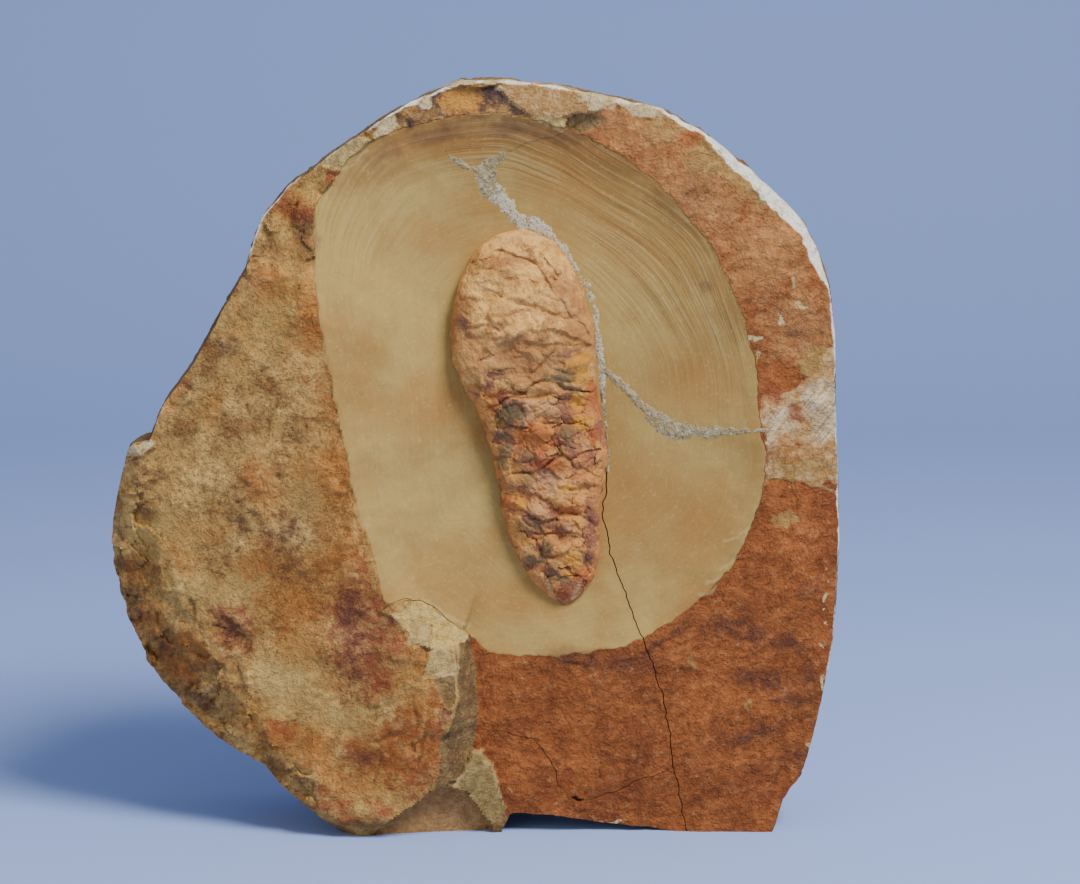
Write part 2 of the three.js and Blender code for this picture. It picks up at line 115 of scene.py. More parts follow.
# Flat faces that flakes and chips left: colour, rise of the middle over the bed, slopes along
# x and z, and corners.
FACETS = [
    ("peach", 0.8, 0.03, -0.02, [(5.8, 202.8), (10.7, 206), (22.2, 205), (34, 203.4), (34.4, 197.1),
                                (27.1, 196.3), (23.8, 195.1), (15.6, 195.5), (9.1, 200.4)]),
    ("pocket", -1.2, 0, -0.1, [(-17.7, 194.6), (-15.6, 198.3), (-11.5, 201.4), (-8.2, 202.4),
                              (-2.9, 203.6), (0.8, 203), (4.9, 203.6), (7.4, 202), (9.1, 200.4),
                              (15, 195.6), (14.8, 192), (-17, 191)]),
    ("grey", -1.1, 0.06, 0.1, [(24.7, 195.4), (30.4, 196.5), (34.5, 195.4), (35.4, 193.4),
                              (30.4, 192.2), (28.4, 190.9), (25.5, 189.5), (23.2, 191.3)]),
    ("cream", 0.6, 0, 0.1, [(15.6, 195.6), (24.6, 195.2), (25.1, 194.6), (23.4, 191)]),
    ("fresh", 0.5, 0.05, 0.1, [(-41, 182.6), (-32.8, 190.6), (-27.4, 189.4), (-28.6, 186.8),
                             (-31.2, 183.2), (-35, 181.4)]),
    ("cream", 0.2, -0.35, -0.05, [(-20.4, 63.9), (-14.2, 66.4), (-8.8, 62.3), (-12, 59.5),
                                 (-17.6, 61.5)]),
    ("cream", 0.1, -0.45, -0.1, [(-8.8, 62.3), (-1.6, 58), (-2.5, 54.1), (-6.5, 56.5), (-12, 59.5)]),
    ("cream", -0.2, -0.6, -0.3, [(-23.4, 63.1), (-20.4, 63.9), (-17.6, 61.5), (-17.6, 58),
                                (-20.5, 60.5)]),
    ("fresh", 0, -0.2, -0.5, [(-17.6, 61.5), (-12, 59.5), (-12.2, 53.3), (-18.5, 55.8), (-17.6, 58)]),
    ("cream", 0.2, -0.75, -0.2, [(-12, 59.5), (-6.5, 56.5), (-2.5, 54.1), (-5.4, 53.3), (-8, 51.6),
                                (-12.2, 53.3)]),
    ("fresh", -0.6, -0.15, -0.1, [(-12.1, 52.6), (-5.4, 53.2), (-5.3, 47.1), (-11.3, 46.2),
                                 (-14.5, 44.6), (-13.4, 47.1)]),
    ("grey", -0.8, -0.2, -0.02, [(-10.9, 45.6), (-8.8, 46.4), (-5.3, 46.2), (-5.1, 39),
                                (-7.1, 36.8), (-8.6, 39.1), (-10, 42.6)]),
    ("bruised", -0.5, -0.12, -0.1, [(-8.4, 38.7), (-7.1, 36.8), (-5.7, 36.1), (-6.5, 34),
                                   (-8.4, 32.2), (-9.2, 35.2)]),
    ("tan", 3.6, -0.45, 0.06, [(-1, 23.2), (1.1, 22.7), (4.5, 18.4), (5.8, 13.6), (7.9, 7),
                             (3.8, 2.4), (-3, 11.6), (-7.9, 13.6), (-5.7, 15)]),
    ("brown", 0.4, -0.17, 0.1, [(-26, 2.6), (-11.5, 13.4), (-8.1, 14.6), (-3, 12.5), (3.8, 2.6),
                              (4.6, -3), (-32, -3)]),
]

# Sharp ridges, pale: partly rubbed wear and partly a painted highlight.
RIDGE_HALF_WIDTH = 0.36
RIDGES = [
    [(-20.4, 64.1), (-14.2, 66.5), (-8.8, 62.2), (-5.4, 59.9), (-1.7, 57.8)],
    [(-1.7, 57.8), (-4.6, 54), (-5.1, 46.4), (-4.8, 38.7), (-6.1, 34.8)],
    [(-14.5, 44.4), (-11.3, 46.2), (-8.8, 46.6), (-5.2, 46.4)],
    [(-19, 55.6), (-14, 54), (-12.2, 53.2), (-8, 51.8)],
    [(-1, 23.2), (1.1, 22.7), (4.5, 18.4), (5.8, 13.6), (7.9, 7)],
    [(-3, 12), (-5.6, 14.6), (-2.4, 19)],
    [(5.8, 202.8), (9.1, 200.4), (12, 198), (15.6, 195.5), (20, 195.2), (24.6, 195.2), (27.1, 196.4)],
    [(15.6, 195.5), (19.4, 193.8), (23.4, 191.6)],
    [(-41, 182.6), (-35, 181.6), (-31.2, 183.2), (-28.6, 186.8)],
    [(-78.7, 62.2), (-76.2, 58), (-73.6, 55.4)],
    [(-72.6, 54), (-69, 52.4), (-64.5, 51.1)],
    [(-65.4, 49.4), (-63, 46), (-62.1, 41.6)],
    [(-96.4, 92.7), (-92.2, 92.5), (-88.9, 90.8)],
    [(88, 97.4), (92, 96.4), (97, 94.6)],
    [(74.4, 84.6), (71, 82), (67.4, 80.8)],
    [(70.8, 77), (69.1, 74.9), (66.6, 73.4)],
    [(67.4, 71.4), (65.5, 70.3), (62.6, 69.6)],
    [(65.4, 68.6), (64.2, 67.1), (61.4, 66.2)],
]

# Dark and light tone of each kind of face.
FACET_COLOURS = {
    "peach": ("#A87A44", "#CA9C64"),
    "pocket": ("#7A5434", "#A8804E"),
    "grey": ("#6F5634", "#94764A"),
    "cream": ("#C29C50", "#DCBA70"),
    "fresh": ("#A08450", "#C4A668"),
    "tan": ("#7E6638", "#9E8450"),
    "bruised": ("#8A5636", "#B47C50"),
    "brown": ("#AA7A48", "#C0905A"),
}

# Rim of the scraped recess, clockwise from its upper left.
RIM = [
    (-42, 171.5), (-34.5, 183), (-27, 189), (-17, 193), (-5, 195.5), (7, 196.5), (19, 194), (27, 191.5),
    (37.5, 186), (47, 179.5), (55.5, 171), (63, 161.5), (69, 150), (73.5, 137.5), (76, 124),
    (77, 111.5), (78.5, 102), (76, 89.5), (70.5, 76), (61, 65), (49, 56.5), (36.5, 51.5), (23, 49.5),
    (6.5, 50), (-1.5, 55), (-14, 65.5), (-23.5, 66.5), (-27.5, 80), (-32, 93.5), (-34.5, 107),
    (-37.5, 122), (-40, 135.5), (-42, 150), (-42.5, 160.5),
]
RECESS_MIDDLE = (19, 120)
RECESS_REACH = 62
RIM_SAMPLES = 720

# The break: from the top edge round the head to the right edge, and from there down.
SEAM = [
    (32, 222), (31, 200), (29.5, 194), (23, 191), (12.5, 188), (7, 185.5), (3.5, 180.5), (5.5, 176),
    (9, 171.5), (12, 167), (19, 165), (24.5, 159.5), (29, 152), (32, 143.5), (33, 134), (33.5, 126.5),
    (40.8, 121.4), (46.5, 115.4), (53.5, 110.8), (65, 110.4), (77, 111), (88, 112.5), (112, 114),
]
CRACK = [
    (34.8, 131), (33.9, 126.4), (34.4, 120), (35, 114), (36, 104), (35.5, 96), (34.5, 87.5), (35.5, 82),
    (37, 76.5), (39.5, 70), (42.5, 61), (46, 53), (48.5, 47.5), (50.5, 39), (52.5, 30.5), (54, 21),
    (55.5, 11), (57, 4), (59, -14),
]
HAIRLINES = [
    [(0, 29), (8, 28), (15, 26), (20, 21), (22, 17), (23, 13), (26, 9.5), (28, 8.6)],
    [(28, 8.6), (32, 9), (37, 11), (42, 13), (46, 15), (51, 17), (55, 19)],
    [(-26, 63), (-23.2, 65.4), (-18.8, 66.8), (-14.4, 66), (-10, 62.4), (-5.6, 59), (-1.5, 56)],
]
HAIRLINE_DEPTH = 5.5

# Filler in the break: x, z and half width along its two runs.
FILLER_RUNS = [
    [
        (8.6, 186.6, 0.3), (6.6, 184.6, 1.7), (3.5, 181.5, 3.4), (3, 178, 3.7), (5.5, 174.5, 3.1),
        (9, 171.3, 2.4), (12, 167.9, 2.5), (18.4, 165.2, 2.2), (23.9, 159.4, 2), (28.7, 151.9, 1.7),
        (32.2, 143.3, 1.4), (33.5, 134, 1.3), (34.3, 128, 1.4), (37.4, 125.4, 1.2), (41, 121.8, 1.3),
        (45.9, 116.8, 1.6), (49.8, 113.4, 3), (53.7, 111.3, 3.5), (56.9, 110.8, 3.1),
        (62.3, 110.5, 2.1), (68.6, 110.9, 1.5), (75.8, 111.3, 0.9), (78.4, 111.4, 0.4),
    ],
    [(34.3, 128, 1.1), (35.2, 114, 0.8), (36.2, 104, 0.8), (36, 99, 0.4)],
    [(-7, 185.6, 0.6), (-4.4, 183.4, 1.4), (-1, 181.6, 1), (2.6, 180, 1.6)],
]

# Where the filler is chalky white, as STAINS.
CHALKY = [(20, 160, 17, 12, -50), (33, 136, 2.4, 18, 0), (10, 172, 6, 4, -30)]

# ---- the animal ----

# Middle x and z, half width, and height of the crest, from the head to the tail.
BODY = [
    (12.3, 165.6, 0, 0), (11.8, 163.2, 7.2, 3.8), (11.8, 159.6, 11.6, 6.4), (11.8, 153, 15.2, 8.8),
    (12, 146.5, 17.7, 10.3), (12.8, 138.5, 19.4, 10.8), (13.4, 130.5, 19.2, 10.4),
    (14.6, 123.5, 17.9, 9.4), (16.7, 118, 16.9, 9), (18.5, 111.5, 16.1, 8.8), (20.1, 104.5, 15.7, 8.4),
    (20.4, 98, 14.6, 7.8), (20.5, 90, 13.5, 7.2), (21.2, 83, 12.3, 6.4), (22.6, 76, 11, 5.6),
    (23.4, 70.5, 8.4, 4.6), (24.1, 66, 4.8, 3.2), (24.4, 62.2, 0, 0),
]
BODY_BURIED = 3.5
BODY_AROUND = 260
BODY_ALONG = 330
HEAD_END = 122.5
FOLD_PITCH = 8.6
FOLD_HEIGHT = 0.7
CARAPACE_LIFT = 0.7

# Creases of the body, left to right: points, half width, depth, and how far the skin
# above the crease stands over the skin below it.
CREASES = [
    ([(-1, 157.4), (1.8, 159.3), (6.7, 159.6), (12.7, 159.3), (15.4, 157.4), (17.1, 155.2)],
     0.9, 0.3, 1.1),
    ([(17.6, 154.1), (21.4, 149.2), (24.7, 144.8), (28.6, 140.4), (31.9, 135.4)], 0.9, 0.35, 1),
    ([(21.4, 155.1), (25.8, 150.7), (29.1, 147.4), (31.9, 142.5)], 0.8, 0.3, 0.9),
    ([(0.1, 152.5), (2.6, 150), (5.6, 148.6)], 0.5, -0.45, 0.4),
    ([(-3.7, 146.9), (0.1, 146.6), (1.2, 145.2)], 0.4, 0.6, 0.3),
    ([(-2.1, 139.3), (1.7, 142.6), (5, 147), (8.9, 147.5), (14.3, 149.7)], 0.7, 0.25, -0.8),
    ([(0.1, 140.4), (4.5, 140.4), (8.3, 138.2), (8.9, 136)], 0.5, 0.4, 0.6),
    ([(3, 156), (9, 154), (15, 152.6)], 0.6, 0.15, 0.5),
    ([(14, 146), (18, 144.4), (24, 143), (27, 140.6)], 0.6, 0.2, 0.6),
    ([(5, 133.3), (8.9, 136.1), (12.7, 138.6), (16.5, 139.4), (21.5, 138.8), (26.4, 137.2),
      (31.6, 134.4)], 0.8, -0.3, 0.7),
    ([(6.1, 133.1), (11.6, 135.5), (17.1, 136.1), (23.6, 135.3), (31.3, 134.7)], 0.9, 0.25, 1),
    ([(11.1, 140.2), (13.2, 141.3), (15.4, 142.4)], 0.4, 0.5, 0.2),
    ([(12.2, 133), (14, 131), (15, 128.6), (16.6, 128), (18, 129), (19, 131.5), (20, 133.2)],
     0.4, 0.6, 0.7),
    ([(20, 132.6), (24, 132.4), (28, 133.2), (31.5, 133.4)], 0.5, 0.5, 0.6),
    ([(-1.5, 137.5), (0.5, 136.4), (2.5, 134.2), (4.6, 133.4)], 0.4, 0.4, 0.3),
    ([(2.4, 125), (3.8, 127.6), (6, 128.6), (8.8, 128.7)], 0.35, 0.5, 0.4),
    ([(-0.5, 124), (2, 123), (5.5, 122.3), (7, 122.4), (9.5, 123.9), (11, 123.1), (13.5, 123),
      (16.5, 124.6), (20, 124.5), (22, 124.3), (24.5, 123), (27, 122.1), (31, 122)],
     0.55, 1.1, 1),
    ([(4, 118.6), (7, 119.4), (10, 120.5), (15, 121.3), (20, 121.8), (24.5, 120.4), (29, 118.4)],
     0.45, 0.7, 0.5),
    ([(5.2, 117), (6.4, 114.8), (8.5, 113.3), (11, 112.8), (14.2, 112.9), (16, 114.4)],
     0.4, 0.9, 0.7),
    ([(18.5, 113.6), (22, 113.4), (26, 114), (29.5, 113)], 0.4, 0.6, 0.5),
    ([(22.4, 106.4), (23.4, 104.4), (25.5, 103), (28, 104.2), (29.6, 106.6), (33, 106.4)],
     0.45, 0.8, 0.6),
    ([(8, 99.2), (11, 100), (14.5, 99.8), (17.5, 100.4), (20, 102), (21.4, 105.2)],
     0.45, 0.8, 0.6),
    ([(9, 94.6), (12.5, 95.4), (15, 94.2), (17.4, 93.4)], 0.4, 0.7, 0.4),
    ([(24, 96.4), (28, 95.2), (31.6, 96)], 0.4, 0.5, 0.4),
    ([(8.5, 90), (11, 89), (14, 88.9), (16, 87.6), (19.5, 87.5), (22, 87.2)], 0.45, 0.8, 0.6),
    ([(22.4, 87.2), (24.5, 88.5), (26.5, 88.6), (29, 88), (31, 86.2), (32.6, 84.2), (33.4, 81.6)],
     0.45, 0.9, 0.5),
    ([(15.5, 83.6), (19, 83.2), (23.5, 83.9), (26.4, 83.6)], 0.4, 0.7, 0.4),
    ([(17.4, 79), (18.4, 77.6), (20, 76.5), (21.8, 76.4), (23.4, 77.2)], 0.4, 0.7, 0.6),
    ([(14.2, 73.6), (16.4, 74.2), (18.6, 75.4)], 0.35, 0.6, 0.3),
    ([(26.6, 71.6), (27.4, 73.2), (28.8, 73.8), (31, 73)], 0.35, 0.6, -0.5),
    ([(19.6, 71), (21, 69), (22, 67), (23.2, 64.6)], 0.4, 0.7, 0.3),
]

# Nodules and pits: x, z, half sizes, turn in degrees, and height.
NODULES = [
    (9, 116.2, 3, 3.8, 38, 1.1), (23, 116.2, 4.2, 1.7, 8, 0.6), (24.5, 110.6, 2.6, 3.1, 0, 1),
    (25.6, 106.2, 3.2, 2.6, 0, 1), (14.2, 117.4, 2.3, 3.8, -30, 1), (16.5, 110, 5, 3.6, 0, 0.5),
    (6.8, 110.6, 1.5, 1.2, 0, 0.9), (8, 106.8, 1.7, 1.7, 0, 0.8), (14, 104.6, 1.8, 1.3, -20, 0.6),
    (18.4, 104.6, 2.6, 1.6, -10, 0.5), (14, 98, 1.5, 1.5, 0, 0.8), (9.6, 97, 2.6, 1.7, 0, 0.6),
    (20.5, 97.4, 4.4, 2.4, 0, 0.7), (17, 90.6, 3.2, 2.1, -10, 0.9), (9.2, 91.6, 2.3, 1.7, 0, 0.6),
    (12.6, 91.6, 1.6, 1.8, 0, 0.7), (26, 91.4, 4.5, 2.2, 5, 0.6), (24.5, 85.2, 1.5, 1, 10, 0.8),
    (19.6, 79.8, 2, 2.1, 0, 1.1), (15.8, 76.4, 2.4, 2, 20, 0.7), (26.6, 75.8, 2, 1.7, 0, 0.7),
    (24.4, 72, 1.6, 1.4, 0, 0.5), (29, 71.4, 2.3, 2.3, 0, 0.9), (22, 72.4, 1.8, 2.6, 15, 0.6),
    (24.6, 67, 1.5, 2.2, 0, 0.5), (29, 79, 2.6, 1.4, -35, 0.6), (13.4, 85.6, 2.6, 1.7, 0, 0.5),
    (30.4, 102.6, 2.2, 1.6, 0, 0.6), (32, 110, 1.8, 2.6, 0, 0.6), (30.6, 97.6, 2, 1.6, 0, 0.5),
    (28.4, 126, 2.8, 2, 0, 0.5), (22.4, 126.4, 3.4, 1.4, -5, 0.5), (22.2, 150.4, 4.4, 1.9, -36, -0.9),
    (16.2, 141.6, 1, 0.9, 0, -0.9), (5.6, 126.2, 2.8, 1.5, 5, -0.6), (-2.6, 140.6, 1.4, 3, 0, -0.4),
    (13.5, 149.5, 5.5, 3.2, 15, 0.4), (25.6, 129.4, 3.6, 1.6, 12, 0.6), (9, 132, 4.5, 2.6, 10, 0.4),
    (10.6, 138.4, 6.5, 2.2, 30, 0.8), (20.6, 140.4, 7, 2.4, -4, 0.9), (29, 137.6, 4, 1.8, -30, 0.8),
    (15.4, 130.6, 3.4, 3, 0, 0.6),
]

# ---- marks on the face of the slab ----

# Scars of lost flakes (negative) and knobs left between them: as NODULES.
SCARS = [
    (16, 201.5, 7.5, 3.2, -10, -1.6), (7, 200.2, 5, 3.6, 8, -1.8), (-4, 200.4, 4.4, 2.4, 12, -0.9),
    (28, 193.6, 4.6, 2.6, -15, -1.1), (-25, 194, 2.6, 1.8, 30, 1), (-20, 195.6, 1.8, 1.5, 0, 0.9),
    (-31, 188.5, 4, 2.4, 40, -1.2), (-36, 183, 3, 2.2, 45, 0.8), (-44, 177, 4.6, 2.6, 45, -1),
    (-66, 56.5, 6.4, 3.8, -35, -1.3), (-90, 106.6, 3.6, 2.2, 25, 1.1), (-91, 100, 5, 1.3, 28, 0.8),
    (-92, 95.4, 4.6, 1.2, 26, 0.7), (-91, 91, 4.4, 1.1, 24, 0.6), (-69, 49.2, 5.2, 1.3, -35, 0.9),
    (-62.5, 43.6, 1.3, 4.6, 22, 0.8), (28, 8.8, 1.7, 0.9, -5, -2.2), (61, 186.5, 4, 1.6, -35, -0.5),
    (71, 180, 4.4, 1.9, -42, -0.7), (76, 173, 3, 1.7, -50, -0.5), (84, 87, 2.4, 1.2, 10, -0.4),
    (-15, 58.5, 6.5, 4.6, -30, -0.9), (-21, 62.6, 4.2, 2.4, -10, 0.5), (-7.4, 37.6, 2.4, 3.4, 10, 0.9),
    (-11.6, 33, 2, 4.6, -8, 0.8), (-23.5, 28.5, 5.6, 1.3, 20, -0.9), (-14.5, 27, 1.2, 5.4, -12, -0.9),
    (-52, 100, 1, 1.6, 0, -0.9), (-61, 118, 0.8, 1.4, 20, -0.9), (-57, 128, 1.1, 0.8, 0, -0.9),
]

# Scarps and cracks of the face, as CREASES.
SCARPS = [
    ([(-77, 66), (-74.6, 58), (-72.6, 53), (-69, 50.4), (-64.6, 48.6), (-63, 43.6), (-60, 38)],
     0.7, 0.9, 0.9),
    ([(-97, 100), (-92, 101.6), (-86, 107)], 0.6, 0.5, 0.8),
    ([(-98, 92.6), (-92, 94), (-85, 99)], 0.6, 0.5, 0.7),
    ([(-98, 87.6), (-92, 89.6), (-87, 93)], 0.6, 0.5, 0.7),
    ([(-99, 75), (-93, 82), (-87, 91)], 0.6, 0.4, -0.5),
    ([(-24, 62.6), (-19, 56), (-13, 53.2), (-5.6, 51.6)], 0.6, 0.5, 0.6),
    ([(-20, 60.6), (-12, 60), (-5, 56)], 0.7, 0.4, 0.5),
    ([(-11, 46.6), (-7, 46), (-3, 46.6)], 0.6, 0.6, 0.6),
    ([(-16.4, 39), (-15.6, 33), (-17.4, 27), (-16, 22)], 0.6, 0.9, 0.3),
    ([(-9, 34), (-8.4, 40), (-10.6, 45)], 0.6, 0.5, -0.6),
    ([(-36, 69), (-38.6, 60), (-37, 50), (-36.6, 41)], 0.5, 0.4, 0.4),
    ([(-36, 38), (-28, 36.6), (-19, 40), (-14, 46)], 0.5, 0.4, 0.5),
    ([(76, 98.8), (80, 98.4), (86, 97.4), (92, 95.6), (99, 94)], 0.4, 0.5, 0.5),
    ([(4, 4.6), (5.4, 12), (2, 20), (1.6, 26)], 0.6, 0.5, 0.7),
    ([(24, 48.2), (30, 46.6), (37, 46.2), (45, 49), (52, 53.4)], 0.5, 0.4, 0.4),
    ([(46, 44), (56, 45.6), (64, 43.6), (74, 46)], 0.5, 0.4, 0.4),
    ([(60, 32), (72, 30), (84, 33.4), (92, 32)], 0.5, 0.4, 0.4),
    ([(64, 19), (76, 21.6), (87, 19)], 0.5, 0.4, 0.4),
    ([(-60, 156), (-54, 163), (-49, 172)], 0.5, 0.4, -0.5),
    ([(-69, 134), (-62, 139), (-58, 147)], 0.5, 0.4, -0.4),
    ([(-63, 99), (-57, 94), (-52, 86), (-50, 80)], 0.5, 0.4, 0.4),
    ([(-70, 58.6), (-64, 56.6), (-60, 52)], 0.6, 0.8, 0.6),
    ([(-70, 28), (-60, 33), (-52, 32), (-44, 36)], 0.5, 0.4, 0.4),
    ([(-2, 196.6), (6, 198.6), (13.6, 195.6), (18, 197.4)], 0.6, 0.8, 0.8),
]

# How wide the edge is bevelled, by the direction from the middle of the slab in degrees.
EDGE_BEVEL = [
    (-180, 0.6), (-120, 0.8), (-111, 5), (-101, 5), (-94, 0.8), (-60, 0.5), (-20, 1.1), (15, 1),
    (26, 1.4), (31, 3), (38, 4.4), (46, 4), (53, 2.4), (62, 1.7), (74, 1.4), (90, 1.8), (100, 1.5),
    (112, 0.9), (125, 1.2), (150, 0.7), (180, 0.6),
]

# Where the scraper bit deepest, as STAINS.
DEEPLY_SCRAPED = [(57, 160, 30, 46, 35), (20, 186, 44, 12, 0), (-30, 172, 16, 22, -30)]

# Outline of the area dressed with a coarse file.
FILED = [
    (77.4, 121.5), (82, 120.6), (86, 122), (90.1, 127.2), (95, 133), (110, 138), (110, 95), (88, 97.6),
    (79, 98.8), (78.4, 109), (76.6, 118),
]
FILE_DIRECTION = 52

# Where the marks of the file are plain to see.
HATCHED = [
    [(76.6, 112.4), (81.6, 117.1), (85.5, 118.5), (88.6, 116.3), (85.6, 112.4), (81.3, 110),
     (81.4, 99.8), (78.8, 100.6), (78, 106.1)],
    [(87.6, 121), (93.2, 125.2), (98.6, 122.6), (98.9, 112.4), (93.8, 107.3), (90.8, 110),
     (91.5, 114.7), (88.4, 118.7)],
]

# How closely the streaks of the scraper and of the file lie.
STREAKS_PER_MM = 1.2
HATCHES_PER_MM = 1.5

# Depths behind the face: where its stains and marks end, where the rust of the rear begins, and
# how far the chalky wear of its edge reaches on the right, at the upper left and elsewhere.
MARK_DEPTH = 4
REAR_DEPTH = 8
WEAR_DEPTHS = (2.2, 1.4, 0.4)

# Patches of colour: x, z, half sizes and turn in degrees.
STAINS = {
    "warm": [
        (26, 178, 16, 7, -30), (41, 92, 16, 11, 20), (61, 84, 9, 14, -30), (7, 64, 16, 5, 0),
        (-14, 117.5, 8, 7, 10), (44, 168, 22, 10, -40), (0, 190, 30, 5, 0), (60, 125, 12, 10, 0),
    ],
    "cream": [
        (-90.5, 107, 4, 1.6, 25), (-23.6, 192, 3.4, 2, 40), (-13, 199.4, 1.6, 2.2, 0),
        (93.8, 125.3, 1, 1, 0), (79.4, 108.8, 0.9, 0.9, 0), (85.2, 151.8, 0.6, 2.8, -4),
        (87.8, 145.1, 1.4, 0.7, -40), (81.6, 141, 0.5, 1.5, 10), (75.6, 136.6, 1.7, 0.5, 15),
        (33, 200, 5, 2.6, -12), (44, 197.4, 6, 1.8, -20), (-8.6, 46, 3, 0.6, 10),
        (76, 131.2, 0.8, 1.3, 0), (95.8, 73, 0.6, 0.7, 0), (95.6, 69.8, 0.5, 0.6, 0),
        (95.6, 65.8, 0.6, 0.9, 0), (95.2, 62.4, 0.5, 0.6, 0), (95, 58.6, 0.5, 0.7, 0),
        (94.6, 52.6, 0.6, 0.8, 0), (94.6, 42, 0.6, 1.8, 0), (90.5, 24.8, 1.6, 0.5, -30),
        (36, 2.6, 5, 0.5, -8), (-2, 204.6, 16, 1, 6), (6.6, 202, 0.8, 0.8, 0),
    ],
    "tan": [
        (62, 184.4, 5, 4.4, -10), (71, 180, 6, 3.2, -45), (76.6, 175, 4, 2.8, -50),
        (50, 193.6, 5, 3.2, -20), (-83.4, 73.4, 3.4, 14, 28), (-84, 88, 4, 5, 0),
        (-93.5, 85, 3.6, 4.5, 8), (-34, 186.4, 5.8, 3.6, 42), (-43, 178, 5, 3, 45),
        (29, 199, 2.8, 1.4, 0), (-33, 34, 7, 4.4, 0), (-29, 10, 6, 4.2, 0), (-22, 49, 3.2, 2.8, 0),
        (-18, 42.4, 3.4, 2.8, 0), (-24, 38.8, 2.6, 2.4, 0), (87, 101.4, 10, 3.2, 3),
        (84, 87, 2.8, 1.6, 10), (-72, 66, 5, 8, 20), (92, 131, 5, 3.4, 30), (-52, 147, 8, 15, -28),
        (-46, 94, 5, 5, 0), (-20, 11, 6, 3, 20), (-50, 42, 11, 8, -20), (-62, 72, 5, 6, 10),
        (59.3, 47.2, 0.7, 1.5, 20), (74.5, 36.1, 0.9, 1.2, 10),
    ],
    # Lighter peach patches towards the upper right of the face.
    "weathered": [
        (58, 178, 20, 12, -40), (78, 160, 13, 14, 0), (88, 140, 11, 9, 0), (44, 192, 16, 7, -20),
    ],
    "umber": [
        (-45, 163.6, 3, 4.4, 10), (-56.4, 160, 3.6, 4, 30), (-60.4, 154, 2.6, 3.4, 45),
        (-67.4, 135.4, 4.2, 2.4, -20), (-77.4, 123, 1.8, 4.2, -18), (-48.4, 112, 4.2, 2.8, -45),
        (-63.8, 91, 3.6, 6.4, 15), (-50, 84.5, 6.5, 6.6, -30), (-47.5, 73, 5, 2.8, -30),
        (-66, 57.4, 6.4, 3.6, -38), (-86, 52, 4.6, 7, 35), (-33, 62, 3.6, 9, 5),
        (-67, 30.6, 5, 2.6, -38), (-46.6, 16, 5.4, 2.4, -35), (-33.4, 47, 2.8, 6.4, 8),
        (-29, 22.6, 4.6, 1.8, -10), (57, 179, 2, 1.5, 0), (27, 49, 8, 1.7, -8), (38, 47, 8, 1.7, 5),
        (49, 51.8, 6, 1.3, 34), (55.4, 56.6, 3, 1, 40), (4.6, 201.4, 3.6, 2.2, -10),
        (10.6, 197.6, 4.6, 1.7, -42), (-18.6, 194.2, 2.4, 2.6, 0), (-13.6, 199, 2, 2.6, 0),
        (84, 52.4, 6, 2.4, -8), (-2.4, 195.6, 8, 0.8, 0), (72, 56, 9, 3, -12), (78, 42.4, 8, 2.4, -10),
        (85, 37, 5, 1.8, 0), (75, 26.8, 7, 2.2, 14), (91.4, 42, 1.8, 6, 0), (88.6, 21, 4, 3, 20),
        (-93, 63, 5, 12, 16), (-78, 42, 6, 9, 38), (-79, 38, 5.6, 3.2, -38), (-97, 82, 1.6, 7, -8),
        (-90, 96, 1.2, 5, 40), (-90, 101, 1.2, 4.4, 40), (24, 190.6, 8, 2.2, 0), (12, 192.4, 8, 2.2, 4),
        (90, 68, 4, 2, 20), (-11, 190.6, 9, 2, 12), (-23, 186.4, 5, 2, 34), (-9.4, 200, 2.4, 2, 0),
        (-18.9, 194.7, 2, 2, 0), (13.2, 195.1, 2, 1.2, 0), (58.4, 175, 2.4, 2, 0),
        (-9.4, 200, 2, 2.6, 0), (2.1, 200, 1.6, 2.6, 0), (62, 150, 2, 1.2, 0), (86, 138, 5, 2, -30),
        (-86, 98, 2.4, 1.4, 20),
    ],
    "rust": [
        (-48.6, 171, 6.6, 3, -22), (-32, 62, 7.6, 10, 12), (-32, 49, 6.4, 9.4, 6),
        (-24, 56, 6.4, 5, -30), (-20, 31, 7, 4.4, 20), (-10.8, 29, 2.8, 11, -2), (-11, 20, 2.2, 5, 10),
        (-29, 23, 7, 3, -10), (-17, 20, 6.6, 5.6, 30), (-26, 45, 5.4, 4.4, 0), (-36, 180, 3.6, 2.2, 40),
        (-30, 73, 2.4, 6, 14), (-38, 9, 7, 3, -36), (-25, 8, 4, 3, 0), (-52, 30, 3.6, 2.4, 0),
        (-66, 57.4, 8, 5.4, -38), (80.1, 119.4, 3.4, 2.4, 10), (-44.6, 170.8, 3.4, 1.8, 0),
        (85.4, 116, 2.6, 1.8, -40), (79, 104, 1.6, 3, 0),
    ],
    "orange": [
        (-53, 152, 5, 4.4, 0), (-43, 142, 3.4, 11, 8), (-39.6, 121, 4, 9.4, 10), (-34.6, 81, 7, 8, 10),
        (-37, 101, 4, 8, 12), (-57.4, 97, 5.4, 5.4, -30), (-48, 25, 9, 5, -25), (-76, 52.4, 6, 4, -46),
        (-48, 64, 5, 7, 10), (-3.4, 199.6, 5, 3.6, 0), (-80, 122, 1.6, 6, -26), (86, 105, 8, 3.2, 0),
        (-14.8, 35, 4.2, 10, -4), (-12.6, 25, 3.4, 8, 6), (-24, 29, 8, 6, 10), (-34, 15, 8, 5, -30),
        (-60, 75, 4, 3, 0), (-88, 58, 3, 4.6, 30), (-81, 46, 4.4, 3, -44), (-93.5, 72, 1.8, 4, 10),
        (-19, 21, 5, 4, 20),
    ],
}

# Upper slopes of the recess, painted brown: partly brown stone, and partly painted shade where they
# turn away from the light under the rim, as STAINS.
BROWN_AND_SHADED_SLOPES = [
    (2, 191, 24, 6, 4), (33, 186, 16, 6, -32), (54, 170, 16, 5, -50), (-24, 183, 12, 6, 40),
    (66, 148, 10, 4, -66),
]

